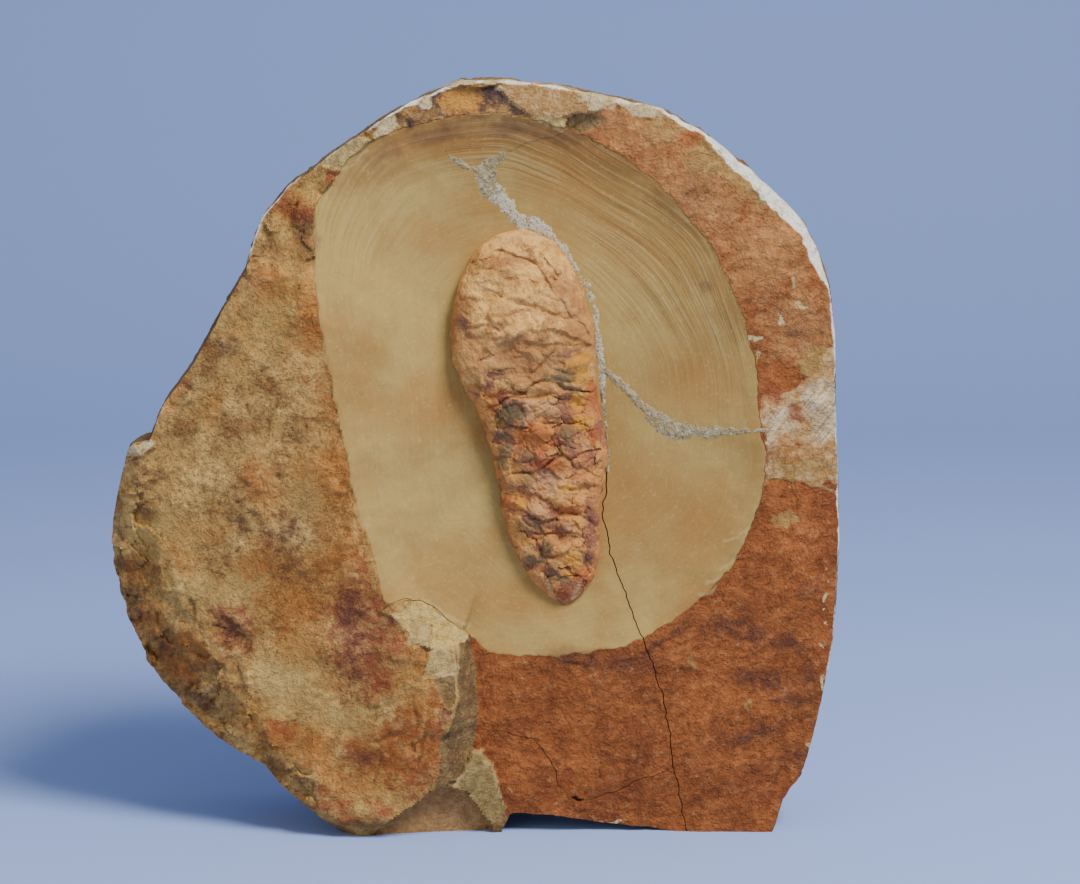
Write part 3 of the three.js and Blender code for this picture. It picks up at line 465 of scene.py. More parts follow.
# Patches of colour on the animal.
BODY_STAINS = {
    # Brown crust, and painted shade on the lower head, under the folds and along the left edge of the
    # head.
    "brown": [
        (13, 131, 22, 7, 0), (-4, 139, 3.4, 12, 0), (28, 140, 3, 10, 34), (14, 134.6, 9, 1.6, 12),
        (8.4, 157.4, 9, 1.6, 4), (26.4, 146.6, 3.4, 11, 38), (23, 150, 4, 3, -40), (0.6, 132, 3, 8, 20),
    ],
    "dark_green": [(9.2, 116, 2.6, 3.3, 38)],
    "green": [
        (9.2, 116, 3.4, 4.1, 38), (25, 110.8, 2.2, 2.4, 0), (6.8, 110.4, 1.8, 1.4, 0),
        (8.2, 106.6, 2.2, 2.4, 0), (13.8, 104.4, 2, 1.5, 0), (14, 98.2, 1.8, 1.8, 0),
        (23.4, 126.4, 4.4, 1.5, -8), (14.4, 85.4, 3.6, 1.6, 0), (19.6, 79.8, 2, 2, 0),
        (15.8, 76.2, 2.8, 2.2, 20), (21.8, 71.8, 2.4, 3, 10), (7.4, 102.6, 1.4, 2.6, 0),
        (26, 123.4, 3.4, 1, -18),
    ],
    "purple": [
        (23.2, 116.4, 4.4, 1.9, 8), (9.6, 97, 3.2, 2.2, 0), (5.8, 126.6, 3, 1.8, 30),
        (24.5, 107.8, 3, 1.6, 0), (24.5, 132.6, 3.4, 1, 4), (-2.8, 140.4, 1.4, 3.4, 0),
        (21, 85.2, 4.4, 1.2, 0), (31.4, 90, 1.8, 3.4, 0), (31, 77, 2, 3.4, 20), (25, 69.4, 2.2, 1.4, 0),
        (23, 63.4, 3, 1.4, 0),
    ],
    "orange": [
        (28.6, 131, 3.8, 1.6, 8), (28, 126.4, 2.8, 2.2, 0), (27.6, 119, 2, 3, 0),
        (12.6, 91.8, 1.8, 1.8, 0), (26.5, 75.6, 2, 1.8, 0), (24.4, 72, 1.8, 1.6, 0),
        (25, 95.8, 3, 1.4, -10), (28.6, 114, 2.6, 2, 0), (6.6, 113.8, 2, 1, 0),
    ],
    "red": [
        (16.6, 110, 5.4, 4, 0), (9.2, 91.6, 2.6, 1.8, 0), (29, 71.2, 2.8, 2.6, 0),
        (24.6, 67, 1.7, 2.6, 0), (5.4, 118, 2, 2.6, 0), (25, 89.8, 5.4, 1.5, 0),
        (15, 104, 4.2, 1.8, -12), (6.5, 120.4, 3, 1.4, 10), (31.6, 121, 2, 4, 0),
        (20, 102.4, 5, 1.8, -8), (31.8, 109, 1.6, 3, 0),
    ],
    # Pale crust, and painted highlights on the tops of lumps and on the top of the head.
    "pale": [
        (17, 90.4, 3.2, 2, -10), (24.6, 85.2, 1.7, 1.1, 0), (20.4, 97.6, 5, 2.4, 0),
        (14.2, 117.2, 2.6, 3.6, -30), (19, 118, 4.4, 2.2, 10), (16.8, 142.4, 2, 1, 0),
        (2.6, 150.8, 3, 0.8, -42), (10, 137.8, 5, 0.7, 32), (22.6, 95, 5.4, 1.5, 0),
        (20.4, 67.6, 0.9, 4.4, 24), (27.6, 67.8, 0.9, 3.6, -24), (14, 76.6, 2.6, 2.2, 0),
        (30.6, 106.8, 2.6, 0.7, -10), (12, 163.4, 8, 2.2, 0), (5, 112.8, 1.8, 1.2, 0),
        (24.6, 145.6, 2.6, 1, -40), (3.4, 131, 1.4, 1.2, 0),
    ],
}


# ---- the stage ----

# In millimetres: the flat run, the bend and the rise of the backdrop.
FLOOR_FRONT = -4800
FLOOR_FLAT = 5600
FLOOR_RADIUS = 500
FLOOR_RUN = 8200
FLOOR_HALF_WIDTH = 2600
FLOOR_STRIPS = 82

# Place and side of each soft light, in metres.
LIGHTS = {"key": ((0.55, -0.62, 1.05), 0.46), "fill": ((-0.8, -1, 0.22), 1.2)}
LIGHT_TARGET = (0, 0, 0.1)
SKY_COLOUR = "#E4EAF4"
SKY_STRENGTH = 0.4

# Lens and sensor in millimetres, distance in metres, elevation in degrees.
CAMERA_LENS = 98.8
CAMERA_SENSOR = 36
CAMERA_TARGET = (17.5, -16, 108.2)
CAMERA_DISTANCE = 0.8
CAMERA_ELEVATION = 8


# ---- numbers: repeatable roughness, curves and patches ----

HASH_PRIMES = np.array([73856093, 19349663, 83492791])
DIRECTIONS = 4096


def unit_directions(dimensions):
    """A fixed table of random directions."""
    drawn = np.random.default_rng(dimensions).normal(size=(DIRECTIONS, dimensions))
    return drawn / np.linalg.norm(drawn, axis=1, keepdims=True)


DIRECTION_TABLES = {dimensions: unit_directions(dimensions) for dimensions in (2, 3)}


def spots(x, z):
    """Places on the face of the slab, one to a row."""
    return np.stack([x, z], axis=1)


def rough(points, size, seed=0):
    """Smooth random hills, a given number of millimetres across, from about -1 to 1."""
    spot = points / size + 31.7 * seed
    cell = np.floor(spot).astype(np.int64)
    part = spot - cell
    fade = part**3 * (part * (part * 6 - 15) + 10)
    dimensions = points.shape[1]
    table = DIRECTION_TABLES[dimensions]
    total = np.zeros(len(points))
    for corner in np.ndindex(*(2,) * dimensions):
        mixed = np.bitwise_xor.reduce((cell + corner) * HASH_PRIMES[:dimensions], axis=1)
        direction = table[mixed % DIRECTIONS]
        weight = np.prod(np.where(corner, fade, 1 - fade), axis=1)
        total += weight * np.sum(direction * (part - corner), axis=1)
    return 1.6 * total


def drifted(spot, reach, size, seed):
    """Places moved about a little, as bent as hills of a given size."""
    return spot + reach * np.stack([rough(spot, size, seed), rough(spot, size, seed + 1)], axis=1)


def pebbles(spot, size, seed):
    """Random plates: distance from a plate's edge, the plate's number, and a tilt it gives."""
    place = spot / size + 31.7 * seed
    cell = np.floor(place).astype(np.int64)
    nearest = np.full(len(spot), 9.0)
    second = np.full(len(spot), 9.0)
    number = np.zeros(len(spot))
    tilt = np.zeros(len(spot))
    for step in np.ndindex(3, 3):
        there = cell + np.array(step) - 1
        mixed = np.bitwise_xor.reduce(there * HASH_PRIMES[:2], axis=1) % DIRECTIONS
        middle = there + 0.5 + 0.45 * DIRECTION_TABLES[2][mixed]
        distance = np.hypot(*(place - middle).T)
        closer = distance < nearest
        second = np.where(closer, nearest, np.minimum(second, distance))
        number = np.where(closer, mixed / DIRECTIONS, number)
        leaning = np.sum((place - middle) * DIRECTION_TABLES[2][mixed // 7], axis=1)
        tilt = np.where(closer, leaning, tilt)
        nearest = np.where(closer, distance, nearest)
    return second - nearest, number, tilt


def crumpled(points, size, seed=0):
    """Sharp creases between smooth swellings, from 0 in a crease to about 1."""
    return np.abs(rough(points, size, seed)) * 1.6


def terraced(height, tread, softness):
    """A slope broken into ledges: flat treads with soft edges."""
    level = height / tread
    base = np.floor(level)
    ramp = np.clip((level - base - 1 + softness) / softness, 0, 1)
    return tread * (base + ramp)


def smooth_step(value, low, high):
    """0 below low, 1 above high, and smooth between them."""
    share = np.clip((value - low) / (high - low), 0, 1)
    return share * share * (3 - 2 * share)


def curve_between(before, start, end, after, part):
    """Catmull-Rom curve from start to end."""
    cubic = 3 * start - 3 * end + after - before
    square = 2 * before - 5 * start + 4 * end - after
    return start + 0.5 * part * (end - before + part * (square + part * cubic))


def closed_curve(points, count):
    """Points on a smooth closed curve through a list of points."""
    points = np.array(points, float)
    places = np.arange(count) * len(points) / count
    index = places.astype(int)
    around = [np.take(points, index + step, axis=0, mode="wrap") for step in (-1, 0, 1, 2)]
    return curve_between(*around, (places - index)[:, None])


def open_curve(points, shares):
    """Points at shares of the way along a smooth open curve through a list of points."""
    points = np.array(points, float)
    first = 2 * points[0] - points[1]
    last = 2 * points[-1] - points[-2]
    padded = np.vstack([first, points, last])
    places = np.asarray(shares) * (len(points) - 1)
    index = np.minimum(places.astype(int), len(points) - 2)
    around = [padded[index + step] for step in range(4)]
    return curve_between(*around, (places - index)[:, None])


def polyline_points(points, spacing):
    """Evenly spaced points along straight stretches, and how far along each is."""
    points = np.array(points, float)
    lengths = np.hypot(*np.diff(points[:, :2], axis=0).T)
    total = np.concatenate([[0], np.cumsum(lengths)])
    along = np.linspace(0, total[-1], max(2, int(total[-1] / spacing) + 1))
    columns = [np.interp(along, total, column) for column in points.T]
    return np.stack(columns, axis=1), along


def distance_to_line(x, z, points):
    """Distance to a line of straight stretches, and whether a point is on its left."""
    nearest = np.full(x.shape, 1e9)
    on_left = np.zeros(x.shape, bool)
    for (ax, az), (bx, bz) in zip(points[:-1], points[1:]):
        length_squared = (bx - ax) ** 2 + (bz - az) ** 2
        share = np.clip(((x - ax) * (bx - ax) + (z - az) * (bz - az)) / length_squared, 0, 1)
        distance = np.hypot(x - ax - share * (bx - ax), z - az - share * (bz - az))
        left = (bx - ax) * (z - az) - (bz - az) * (x - ax) > 0
        closer = distance < nearest
        on_left = np.where(closer, left, on_left)
        nearest = np.where(closer, distance, nearest)
    return nearest, on_left


def inside_polygon(x, z, points):
    """Whether points lie inside a closed outline."""
    inside = np.zeros(x.shape, bool)
    for (ax, az), (bx, bz) in zip(points, points[1:] + points[:1]):
        crosses = (az > z) != (bz > z)
        run = (bx - ax) / (bz - az) if bz != az else 0
        inside ^= crosses & (x < ax + (z - az) * run)
    return inside


def depth_inside(x, z, points):
    """Distance to a closed outline, negative outside it."""
    distance, _ = distance_to_line(x, z, points + points[:1])
    return np.where(inside_polygon(x, z, points), distance, -distance)


def from_middle(x, z, patch):
    """How far from the middle of an ellipse a point is: 1 on its outline."""
    middle_x, middle_z, across, along, turn = patch[:5]
    cosine = math.cos(math.radians(turn))
    sine = math.sin(math.radians(turn))
    u = (x - middle_x) * cosine + (z - middle_z) * sine
    v = (z - middle_z) * cosine - (x - middle_x) * sine
    return np.hypot(u / across, v / along)


def patch_field(x, z, patches):
    """1 in the middle of a patch, 0 on its outline, and negative away from all of them."""
    return np.maximum.reduce([1 - from_middle(x, z, patch) for patch in patches]).clip(-1, 1)


def strayed(x, z, reach):
    """Moves points about a little, so that what is drawn there gets an irregular outline."""
    spot = spots(x, z)
    shift = [rough(spot, 4.2, seed) + 0.6 * rough(spot, 1.7, seed + 1) for seed in (71, 73)]
    return x + reach * shift[0], z + reach * shift[1]


def mounds(x, z, patches):
    """Height of round mounds and dents with a fairly crisp edge."""
    height = np.zeros(x.shape)
    for patch in patches:
        height += patch[5] * (1 - from_middle(x, z, patch) ** 2).clip(0, 1) ** 0.7
    return height


def creased(x, z, lines):
    """Height that creases give a surface, and how deep in a crease each point is."""
    height = np.zeros(x.shape)
    cavity = np.zeros(x.shape)
    uneven = (0.75 + 0.8 * rough(spots(x, z), 3.2, 26)).clip(0.15, 1.5)
    for points, half_width, depth, lift in lines:
        distance, on_left = distance_to_line(x, z, points)
        groove = depth * uneven * np.exp(-((distance / half_width) ** 2))
        left = smooth_step(np.where(on_left, distance, -distance), -0.35, 0.35)
        step = left * np.exp(-distance / 3.5) - 0.3 * (1 - left) * np.exp(-distance / 2)
        height += lift * uneven.clip(0.5, 1.2) * step
        height -= groove
        cavity += groove
    return height, cavity


# ---- surfaces of the rock ----


def swell(x, z):
    """The gentle waves of a split bedding plane."""
    return (
        0.5 * np.sin(0.11 * x + 0.07 * z)
        + 0.35 * np.sin(0.16 * z - 0.06 * x + 1.3)
        + 0.25 * np.sin(0.33 * x - 0.24 * z + 0.6)
    )


def plane_rise(plane, x, z):
    """Rise of a tilted plane given by a line, its rise there and its slope to the left."""
    (from_x, from_z), (to_x, to_z), rise, slope = plane
    length = math.hypot(to_x - from_x, to_z - from_z)
    to_the_left = ((to_x - from_x) * (z - from_z) - (to_z - from_z) * (x - from_x)) / length
    return rise + slope * to_the_left


def step_x(z, column):
    """x of the broken edge of the upper bed (column 1) or of its foot (column 2)."""
    heights = [level[0] for level in STEP]
    return np.interp(z, heights, [level[column] for level in STEP])


def step_wander(z):
    """How far the broken edge strays from its straight stretches."""
    heights = spots(z, np.zeros_like(z))
    return rough(heights, 7, 3) + 0.7 * rough(heights, 2.6, 4)


def step_edges(z):
    """x of the broken edge at a height, and x of the foot of its wall."""
    return step_x(z, 1) + step_wander(z), step_x(z, 2) + 0.6 * step_wander(z + 300)


def split_relief(spot):
    """Thin flakes and grains of a split bedding plane, about half a millimetre high in all."""
    bent = drifted(spot, 1.3, 3, 61)
    flakes = terraced(0.8 * rough(bent * (0.5, 1.3), 6.5, 1), 0.36, 0.3)
    scales = terraced(0.5 * rough(bent * (0.55, 1.4), 2.7, 2), 0.2, 0.35)
    _, plate, tilt = pebbles(bent * (0.7, 1.2), 2.2, 60)
    grains = 0.1 * rough(spot * (0.8, 1.2), 1.9, 5) + 0.13 * rough(spot, 1.2, 6)
    ledges = 0.3 * crumpled(bent * (0.8, 1.25), 3.6, 67)
    return 0.35 * flakes + 0.45 * scales + 0.16 * (plate - 0.5) + 0.2 * tilt + grains - ledges


def broken_relief(spot):
    """The rougher surface of a break across the bedding, in ledges."""
    bent = spot + 1.2 * np.stack([rough(spot, 5, 7)] * 2, axis=1)
    _, plate, tilt = pebbles(bent, 6, 8)
    _, small_plate, small_tilt = pebbles(bent, 2.4, 59)
    facets = 0.9 * (plate - 0.5) + 1.2 * tilt + 0.25 * (small_plate - 0.5) + 0.4 * small_tilt
    return 0.6 * rough(spot, 8, 10) + facets + 0.12 * rough(spot, 1.2, 9)


def cap_rise(name, x, z, breaks):
    """Rise of one group of the planes that cut the upper bed, with its broken relief."""
    roughness, planes = UPPER_BED_CAPS[name]
    return np.maximum.reduce([plane_rise(plane, x, z) for plane in planes]) + roughness * breaks


def upper_bed_plane(x, z):
    """The upper bed before anything is cut from it."""
    tilted = np.minimum(UPPER_BED_LIMIT, UPPER_BED_RISE + UPPER_BED_TILT * x)
    return tilted + swell(x, z)


def upper_relief(spot):
    """The split relief of the upper bed, whose grain runs aslant and is less even."""
    aslant = split_relief(spot @ np.array([[0.92, 0.4], [-0.4, 0.92]]) * (1.2, 0.9) + 500)
    return aslant * (0.75 + 0.6 * rough(spot, 15, 24)) + 0.5 * rough(spot, 14, 25)


def upper_bed_rise(x, z):
    """The upper bed, under its caps and behind its broken edge."""
    spot = spots(x, z)
    bed = upper_bed_plane(x, z) + upper_relief(spot)
    breaks = broken_relief(spot)
    for name in UPPER_BED_CAPS:
        bed = np.minimum(bed, cap_rise(name, x, z, breaks))
    edge, foot = step_edges(z)
    flutes = 0.8 * rough(spot * (1.6, 0.4), 3.6, 18)
    width = np.maximum(foot - edge, 0.6)
    wall = LOWER_BED_RISE + 10 * (edge + width - x) / width + 0.5 * breaks + flutes
    return np.minimum(bed, wall)


def lower_bed_plane(x, z):
    """The lower bed, which is lost along the lower left edge of the slab."""
    return np.where((x < -60) & (z < 118), 0, LOWER_BED_RISE + swell(x, z))


def bed_rise(x, z):
    """The face of the slab as it was before the recess was scraped."""
    lower = lower_bed_plane(x, z) + 0.64 * split_relief(spots(x, z))
    return np.maximum(lower, upper_bed_rise(x, z))


def smooth_bed_rise(x, z):
    """The same face without its fine relief, for the rim of the recess."""
    lower = lower_bed_plane(x, z)
    bed = upper_bed_plane(x, z)
    for name in UPPER_BED_CAPS:
        bed = np.minimum(bed, cap_rise(name, x, z, 0))
    return np.where(x < step_x(z, 1), np.maximum(lower, bed), lower)


def rim_table():
    """The rim in polar form round the middle of the recess."""
    x, z = closed_curve(RIM, RIM_SAMPLES).T
    angle = np.arctan2(z - RECESS_MIDDLE[1], x - RECESS_MIDDLE[0])
    radius = np.hypot(x - RECESS_MIDDLE[0], z - RECESS_MIDDLE[1])
    order = np.argsort(angle)
    rise = smooth_bed_rise(x, z)[order]
    reach = RIM_SAMPLES // 20
    window = np.hanning(2 * reach + 1)
    wrapped = np.concatenate([rise[-reach:], rise, rise[:reach]])
    even_rise = np.convolve(wrapped, window / window.sum(), mode="valid")
    return angle[order], radius[order], rise, even_rise


RIM_ANGLES, RIM_RADII, RIM_RISES, EVEN_RIM_RISES = rim_table()


def recess_place(x, z):
    """Direction from the middle of the recess, distance to its rim there, and own distance."""
    angle = np.arctan2(z - RECESS_MIDDLE[1], x - RECESS_MIDDLE[0])
    distance = np.hypot(x - RECESS_MIDDLE[0], z - RECESS_MIDDLE[1])
    return angle, np.interp(angle, RIM_ANGLES, RIM_RADII, period=2 * math.pi), distance


def chipped_faces(x, z, bed):
    """The bed with the flat faces of lost flakes cut into it, and its rubbed ridges."""
    for _, lift, slope_x, slope_z, corners in FACETS:
        middle_x, middle_z = np.mean(corners, axis=0)
        middle_rise = smooth_bed_rise(np.array([middle_x]), np.array([middle_z]))
        face = middle_rise + lift + slope_x * (x - middle_x) + slope_z * (z - middle_z)
        share = smooth_step(depth_inside(x, z, corners), -0.2, 0.35)
        bed = bed + share * (face + 0.15 * (bed - smooth_bed_rise(x, z)).clip(-1, 1) - bed)
    return bed + 0.12 * smooth_step(ridge_field(x, z), -0.8, 0.6)


def ridge_field(x, z):
    """1 on a ridge, 0 at its edge and negative further off."""
    distances = [distance_to_line(x, z, ridge)[0] for ridge in RIDGES]
    return (1 - np.minimum.reduce(distances) / RIDGE_HALF_WIDTH).clip(-1, 1)


def facet_field(x, z, colour):
    """How far inside the faces of one colour each point is, in millimetres."""
    depths = [depth_inside(x, z, facet[4]) for facet in FACETS if facet[0] == colour]
    return np.maximum.reduce(depths).clip(-1, 1)


def scraped_rise(angle, share):
    """Surface of the recess at a share of the way from its middle to its rim."""
    up = np.maximum(0, np.sin(angle))
    down = np.maximum(0, -np.sin(angle))
    sharpness = 2.05 + 0.45 * np.cos(angle) + 4.2 * up**5 + 1.4 * down**2
    rim_rise = np.interp(angle, RIM_ANGLES, RIM_RISES, period=2 * math.pi)
    even_rise = np.interp(angle, RIM_ANGLES, EVEN_RIM_RISES, period=2 * math.pi)
    rim_rise = even_rise + (rim_rise - even_rise) * smooth_step(share, 0.78, 1)
    return RECESS_FLOOR_RISE + (rim_rise - RECESS_FLOOR_RISE) * share**sharpness


def recess_rise(x, z):
    """Surface of the recess without its tool marks."""
    angle, radius, distance = recess_place(x, z)
    return scraped_rise(angle, distance / radius)


def stroke_space(x, z):
    """A space in which tool strokes are straight: along them, and across in its third number."""
    angle, radius, distance = recess_place(*drifted(spots(x, z), 4, 42, 11).T)
    across = distance / radius * RECESS_REACH
    scraped = np.stack([30 * np.cos(angle), 30 * np.sin(angle), across], axis=1)
    turn = math.radians(FILE_DIRECTION)
    filed_across = z * math.cos(turn) - x * math.sin(turn)
    filed_along = x * math.cos(turn) + z * math.sin(turn)
    filed = np.stack([filed_along, np.zeros_like(x), filed_across], axis=1)
    return np.where((recess_share(x, z) < 1)[:, None], scraped, filed)


def stroke_strength(x, z):
    """How deep the scraper's marks are: deepest at the upper right, faint elsewhere."""
    return (1.6 * patch_field(x, z, DEEPLY_SCRAPED)).clip(0, 1)


def tool_marks(x, z):
    """Grooves of the scraper, and the slow waves it left."""
    strokes = stroke_space(x, z) * (0.08, 0.08, 1)
    spot = spots(x, z)
    fine = 0.6 * rough(strokes, 2.4, 13) + 0.6 * rough(strokes, 1.2, 19)
    slow = 0.22 * rough(spot, 17, 20) + 0.1 * rough(spot, 7, 23)
    return (0.05 + 0.2 * stroke_strength(x, z)) * fine + slow


def rim_chips(x, z):
    """How far the rim of the recess strays from its drawn line."""
    spot = spots(x, z)
    return 0.5 * rough(spot, 6, 14) + 0.35 * rough(spot, 2.4, 15)


def recess_share(x, z):
    """0 in the middle of the recess and 1 on its chipped rim."""
    _, radius, distance = recess_place(x, z)
    return distance / (radius + rim_chips(x, z))


def edge_depth(x, z):
    """Distance to the edge of the slab's face, and how wide the edge is bevelled there."""
    depth = depth_inside(x, z, OUTLINE)
    angle = np.degrees(np.arctan2(z - SLAB_MIDDLE[1], x - SLAB_MIDDLE[0]))
    directions, widths = zip(*EDGE_BEVEL)
    spot = spots(x, z)
    chipped = 1 + 0.35 * rough(spot, 9, 16) + 0.16 * rough(spot, 2.8, 17)
    return depth, np.interp(angle, directions, widths) * chipped.clip(0.15, 2)


def front_rise(x, z):
    """The finished face of the slab."""
    angle, _, _ = recess_place(x, z)
    share = recess_share(x, z)
    scarps, _ = creased(*strayed(x, z, 0.9), SCARPS)
    bed = bed_rise(x, z) + mounds(*strayed(x, z, 1.2), SCARS) + 0.6 * scarps
    bed = chipped_faces(*strayed(x, z, 0.35), bed)
    scraped = scraped_rise(angle, share) + tool_marks(x, z)
    face = np.where(share < 1, np.minimum(bed + 2, scraped), bed)
    depth, bevel = edge_depth(x, z)
    return face - 0.8 * (bevel - depth).clip(0, 6)


def back_rise(x, z):
    """The split back of the slab, thinner towards its top."""
    spot = spots(x, z)
    steps = terraced(2.4 * rough(spot, 30, 21) + 0.8 * rough(spot, 9, 22), 1.1, 0.5)
    return BACK_RISE + 1.2 * swell(z, x) + 0.03 * np.maximum(0, z - 90) + 0.7 * steps


# ---- making and cutting meshes ----


def new_piece(name, form, place):
    """A mesh object from a form, with each of its points put where place says."""
    mesh = bpy.data.meshes.new(name)
    form.to_mesh(mesh)
    form.free()
    points = np.empty(len(mesh.vertices) * 3)
    mesh.vertices.foreach_get("co", points)
    placed = place(points.reshape(-1, 3)) * MM
    mesh.vertices.foreach_set("co", placed.astype(np.float32).ravel())
    mesh.update()
    piece = bpy.data.objects.new(name, mesh)
    bpy.context.scene.collection.objects.link(piece)
    return piece


def block_form(columns, rows):
    """A closed block from -1 to 1, finely divided on its front at z = 0."""
    form = bmesh.new()
    bmesh.ops.create_grid(form, x_segments=columns, y_segments=rows, size=1)
    outer = [edge for edge in form.edges if edge.is_boundary]
    made = bmesh.ops.extrude_edge_only(form, edges=outer)["geom"]
    behind = [item for item in made if isinstance(item, bmesh.types.BMVert)]
    bmesh.ops.translate(form, verts=behind, vec=(0, 0, -1))
    loop = [edge for edge in form.edges if edge.is_boundary]
    bmesh.ops.edgeloop_fill(form, edges=loop)
    bmesh.ops.recalc_face_normals(form, faces=form.faces[:])
    return form


def drum_form(around, rings):
    """A closed drum of radius 1 from z = 0 to z = 1, divided round and along."""
    form = bmesh.new()
    bmesh.ops.create_circle(form, radius=1, segments=around)
    ring = form.edges[:]
    for _ in range(rings):
        made = bmesh.ops.extrude_edge_only(form, edges=ring)["geom"]
        ring = [item for item in made if isinstance(item, bmesh.types.BMEdge)]
        raised = [item for item in made if isinstance(item, bmesh.types.BMVert)]
        bmesh.ops.translate(form, verts=raised, vec=(0, 0, 1 / rings))
    open_edges = [edge for edge in form.edges if edge.is_boundary]
    bmesh.ops.edgeloop_fill(form, edges=open_edges)
    bmesh.ops.recalc_face_normals(form, faces=form.faces[:])
    return form


def combine(piece, tool, operation):
    """Cuts, joins or intersects a piece with a tool, and takes the tool away."""
    step = piece.modifiers.new("combine", "BOOLEAN")
    step.operation = operation
    step.solver = "MANIFOLD"
    step.object = tool
    evaluated = piece.evaluated_get(bpy.context.evaluated_depsgraph_get())
    made = bpy.data.meshes.new_from_object(evaluated)
    if not made.polygons:
        raise RuntimeError(f"{operation} of {piece.name} with {tool.name} left nothing")
    piece.modifiers.clear()
    old = piece.data
    piece.data = made
    bpy.data.meshes.remove(old)
    spent = tool.data
    bpy.data.objects.remove(tool)
    bpy.data.meshes.remove(spent)


def shade(piece, angle):
    """Smooth shading with edges sharper than an angle kept crisp."""
    piece.data.shade_smooth()
    piece.data.set_sharp_from_angle(angle=math.radians(angle))


def points_of(piece):
    """The x, y and z of every vertex, in millimetres."""
    points = np.empty(len(piece.data.vertices) * 3)
    piece.data.vertices.foreach_get("co", points)
    return points.reshape(-1, 3).T / MM


def mark(piece, name, values):
    """Keeps one number, or three, with each vertex for the materials to read."""
    kind = "FLOAT" if values.ndim == 1 else "FLOAT_VECTOR"
    field = "value" if values.ndim == 1 else "vector"
    attribute = piece.data.attributes.new(name, kind, "POINT")
    attribute.data.foreach_set(field, values.astype(np.float32).ravel())


def finish_piece(piece, node, material):
    """Gives a piece its finish and puts it in the place of its CAD node."""
    piece.data.materials.clear()
    piece.data.materials.append(material)
    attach(piece, "root")
    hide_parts(node)


# ---- the slab ----


def bed_block(name, cell, side, rise):
    """Everything behind a surface of the slab (side -1), or in front of it (side 1)."""
    columns = round((RIGHT - LEFT) / cell)
    rows = round((TOP - BOTTOM) / cell)

    def place(points):
        x = (LEFT + RIGHT) / 2 - side * points[:, 0] * (RIGHT - LEFT) / 2
        z = (BOTTOM + TOP) / 2 + points[:, 1] * (TOP - BOTTOM) / 2
        y = np.where(points[:, 2] < -0.5, -side * FAR, -rise(x, z))
        return np.stack([x, y, z], axis=1)

    return new_piece(name, block_form(columns, rows), place)


def outline_drum():
    """Everything inside the rough sides of the slab."""
    route, along = polyline_points(OUTLINE[::-1] + OUTLINE[-1:], SIDE_CELL)
    around = len(route) - 1
    rings = round(2 * FAR / SIDE_CELL)

    def place(points):
        turn = np.arctan2(points[:, 1], points[:, 0]) / (2 * math.pi) % 1
        length = turn * along[-1]
        x, z = (np.interp(length, along, column) for column in route.T)
        y = FAR - 2 * FAR * points[:, 2]
        away = spots(x - SLAB_MIDDLE[0], z - SLAB_MIDDLE[1])
        reach = np.hypot(*away.T)
        spot = np.stack([x, y, z], axis=1)
        ledges = terraced(2.4 * rough(spot * (0.35, 1.6, 0.35), 6, 31), 0.9, 0.4)
        chips = 0.9 * rough(spot, 8, 32) + 0.7 * rough(spot, 3.4, 33) + 0.3 * rough(spot, 1.6, 34)
        behind_face = smooth_step(y, -18, -8)
        inward = 0.35 * chips + behind_face * (0.9 * np.abs(chips) + 0.6 * np.abs(ledges))
        levels, shrinks = zip(*SIDE_LEVELS)
        keep = 1 - np.interp(y, levels, shrinks) - inward / reach
        x = SLAB_MIDDLE[0] + away[:, 0] * keep
        z = SLAB_MIDDLE[1] + away[:, 1] * keep
        return np.stack([x, y, z], axis=1)

    return new_piece("outline", drum_form(around, rings), place)


def ground_block():
    """Everything above the ground, so that the slab stands on flat feet."""

    def place(points):
        x, y = points[:, 0] * 4 * FAR, points[:, 1] * 4 * FAR
        z = np.where(points[:, 2] < -0.5, 0, 8 * FAR)
        return np.stack([x, y, z], axis=1)

    return new_piece("ground", block_form(1, 1), place)


def sideways_of(route):
    """Unit vectors at each point of a route, square to it and to its left."""
    forward = np.gradient(route, axis=0)
    forward /= np.hypot(*forward.T)[:, None]
    return np.stack([-forward[:, 1], forward[:, 0]], axis=1)


def ribbon(name, route, half_width, wander, low_rise):
    """A thin closed wall along a route, which strays from side to side as a crack does."""
    middle, along = polyline_points(route, ROUTE_CELL)
    places = spots(along, np.zeros_like(along))
    stray = wander * (0.8 * rough(places, 5, 41) + 0.5 * rough(places, 1.9, 42))
    middle = middle + sideways_of(middle) * stray[:, None]
    sideways = sideways_of(middle)
    widths = half_width(along / along[-1])

    def place(points):
        index = np.round((points[:, 0] + 1) / 2 * (len(middle) - 1)).astype(int)
        x, z = (middle[index] + sideways[index] * (points[:, 1] * widths[index])[:, None]).T
        rise = np.where(points[:, 2] < -0.5, low_rise(x, z), FAR)
        return np.stack([x, -rise, z], axis=1)

    return new_piece(name, block_form(len(middle) - 1, 1), place)


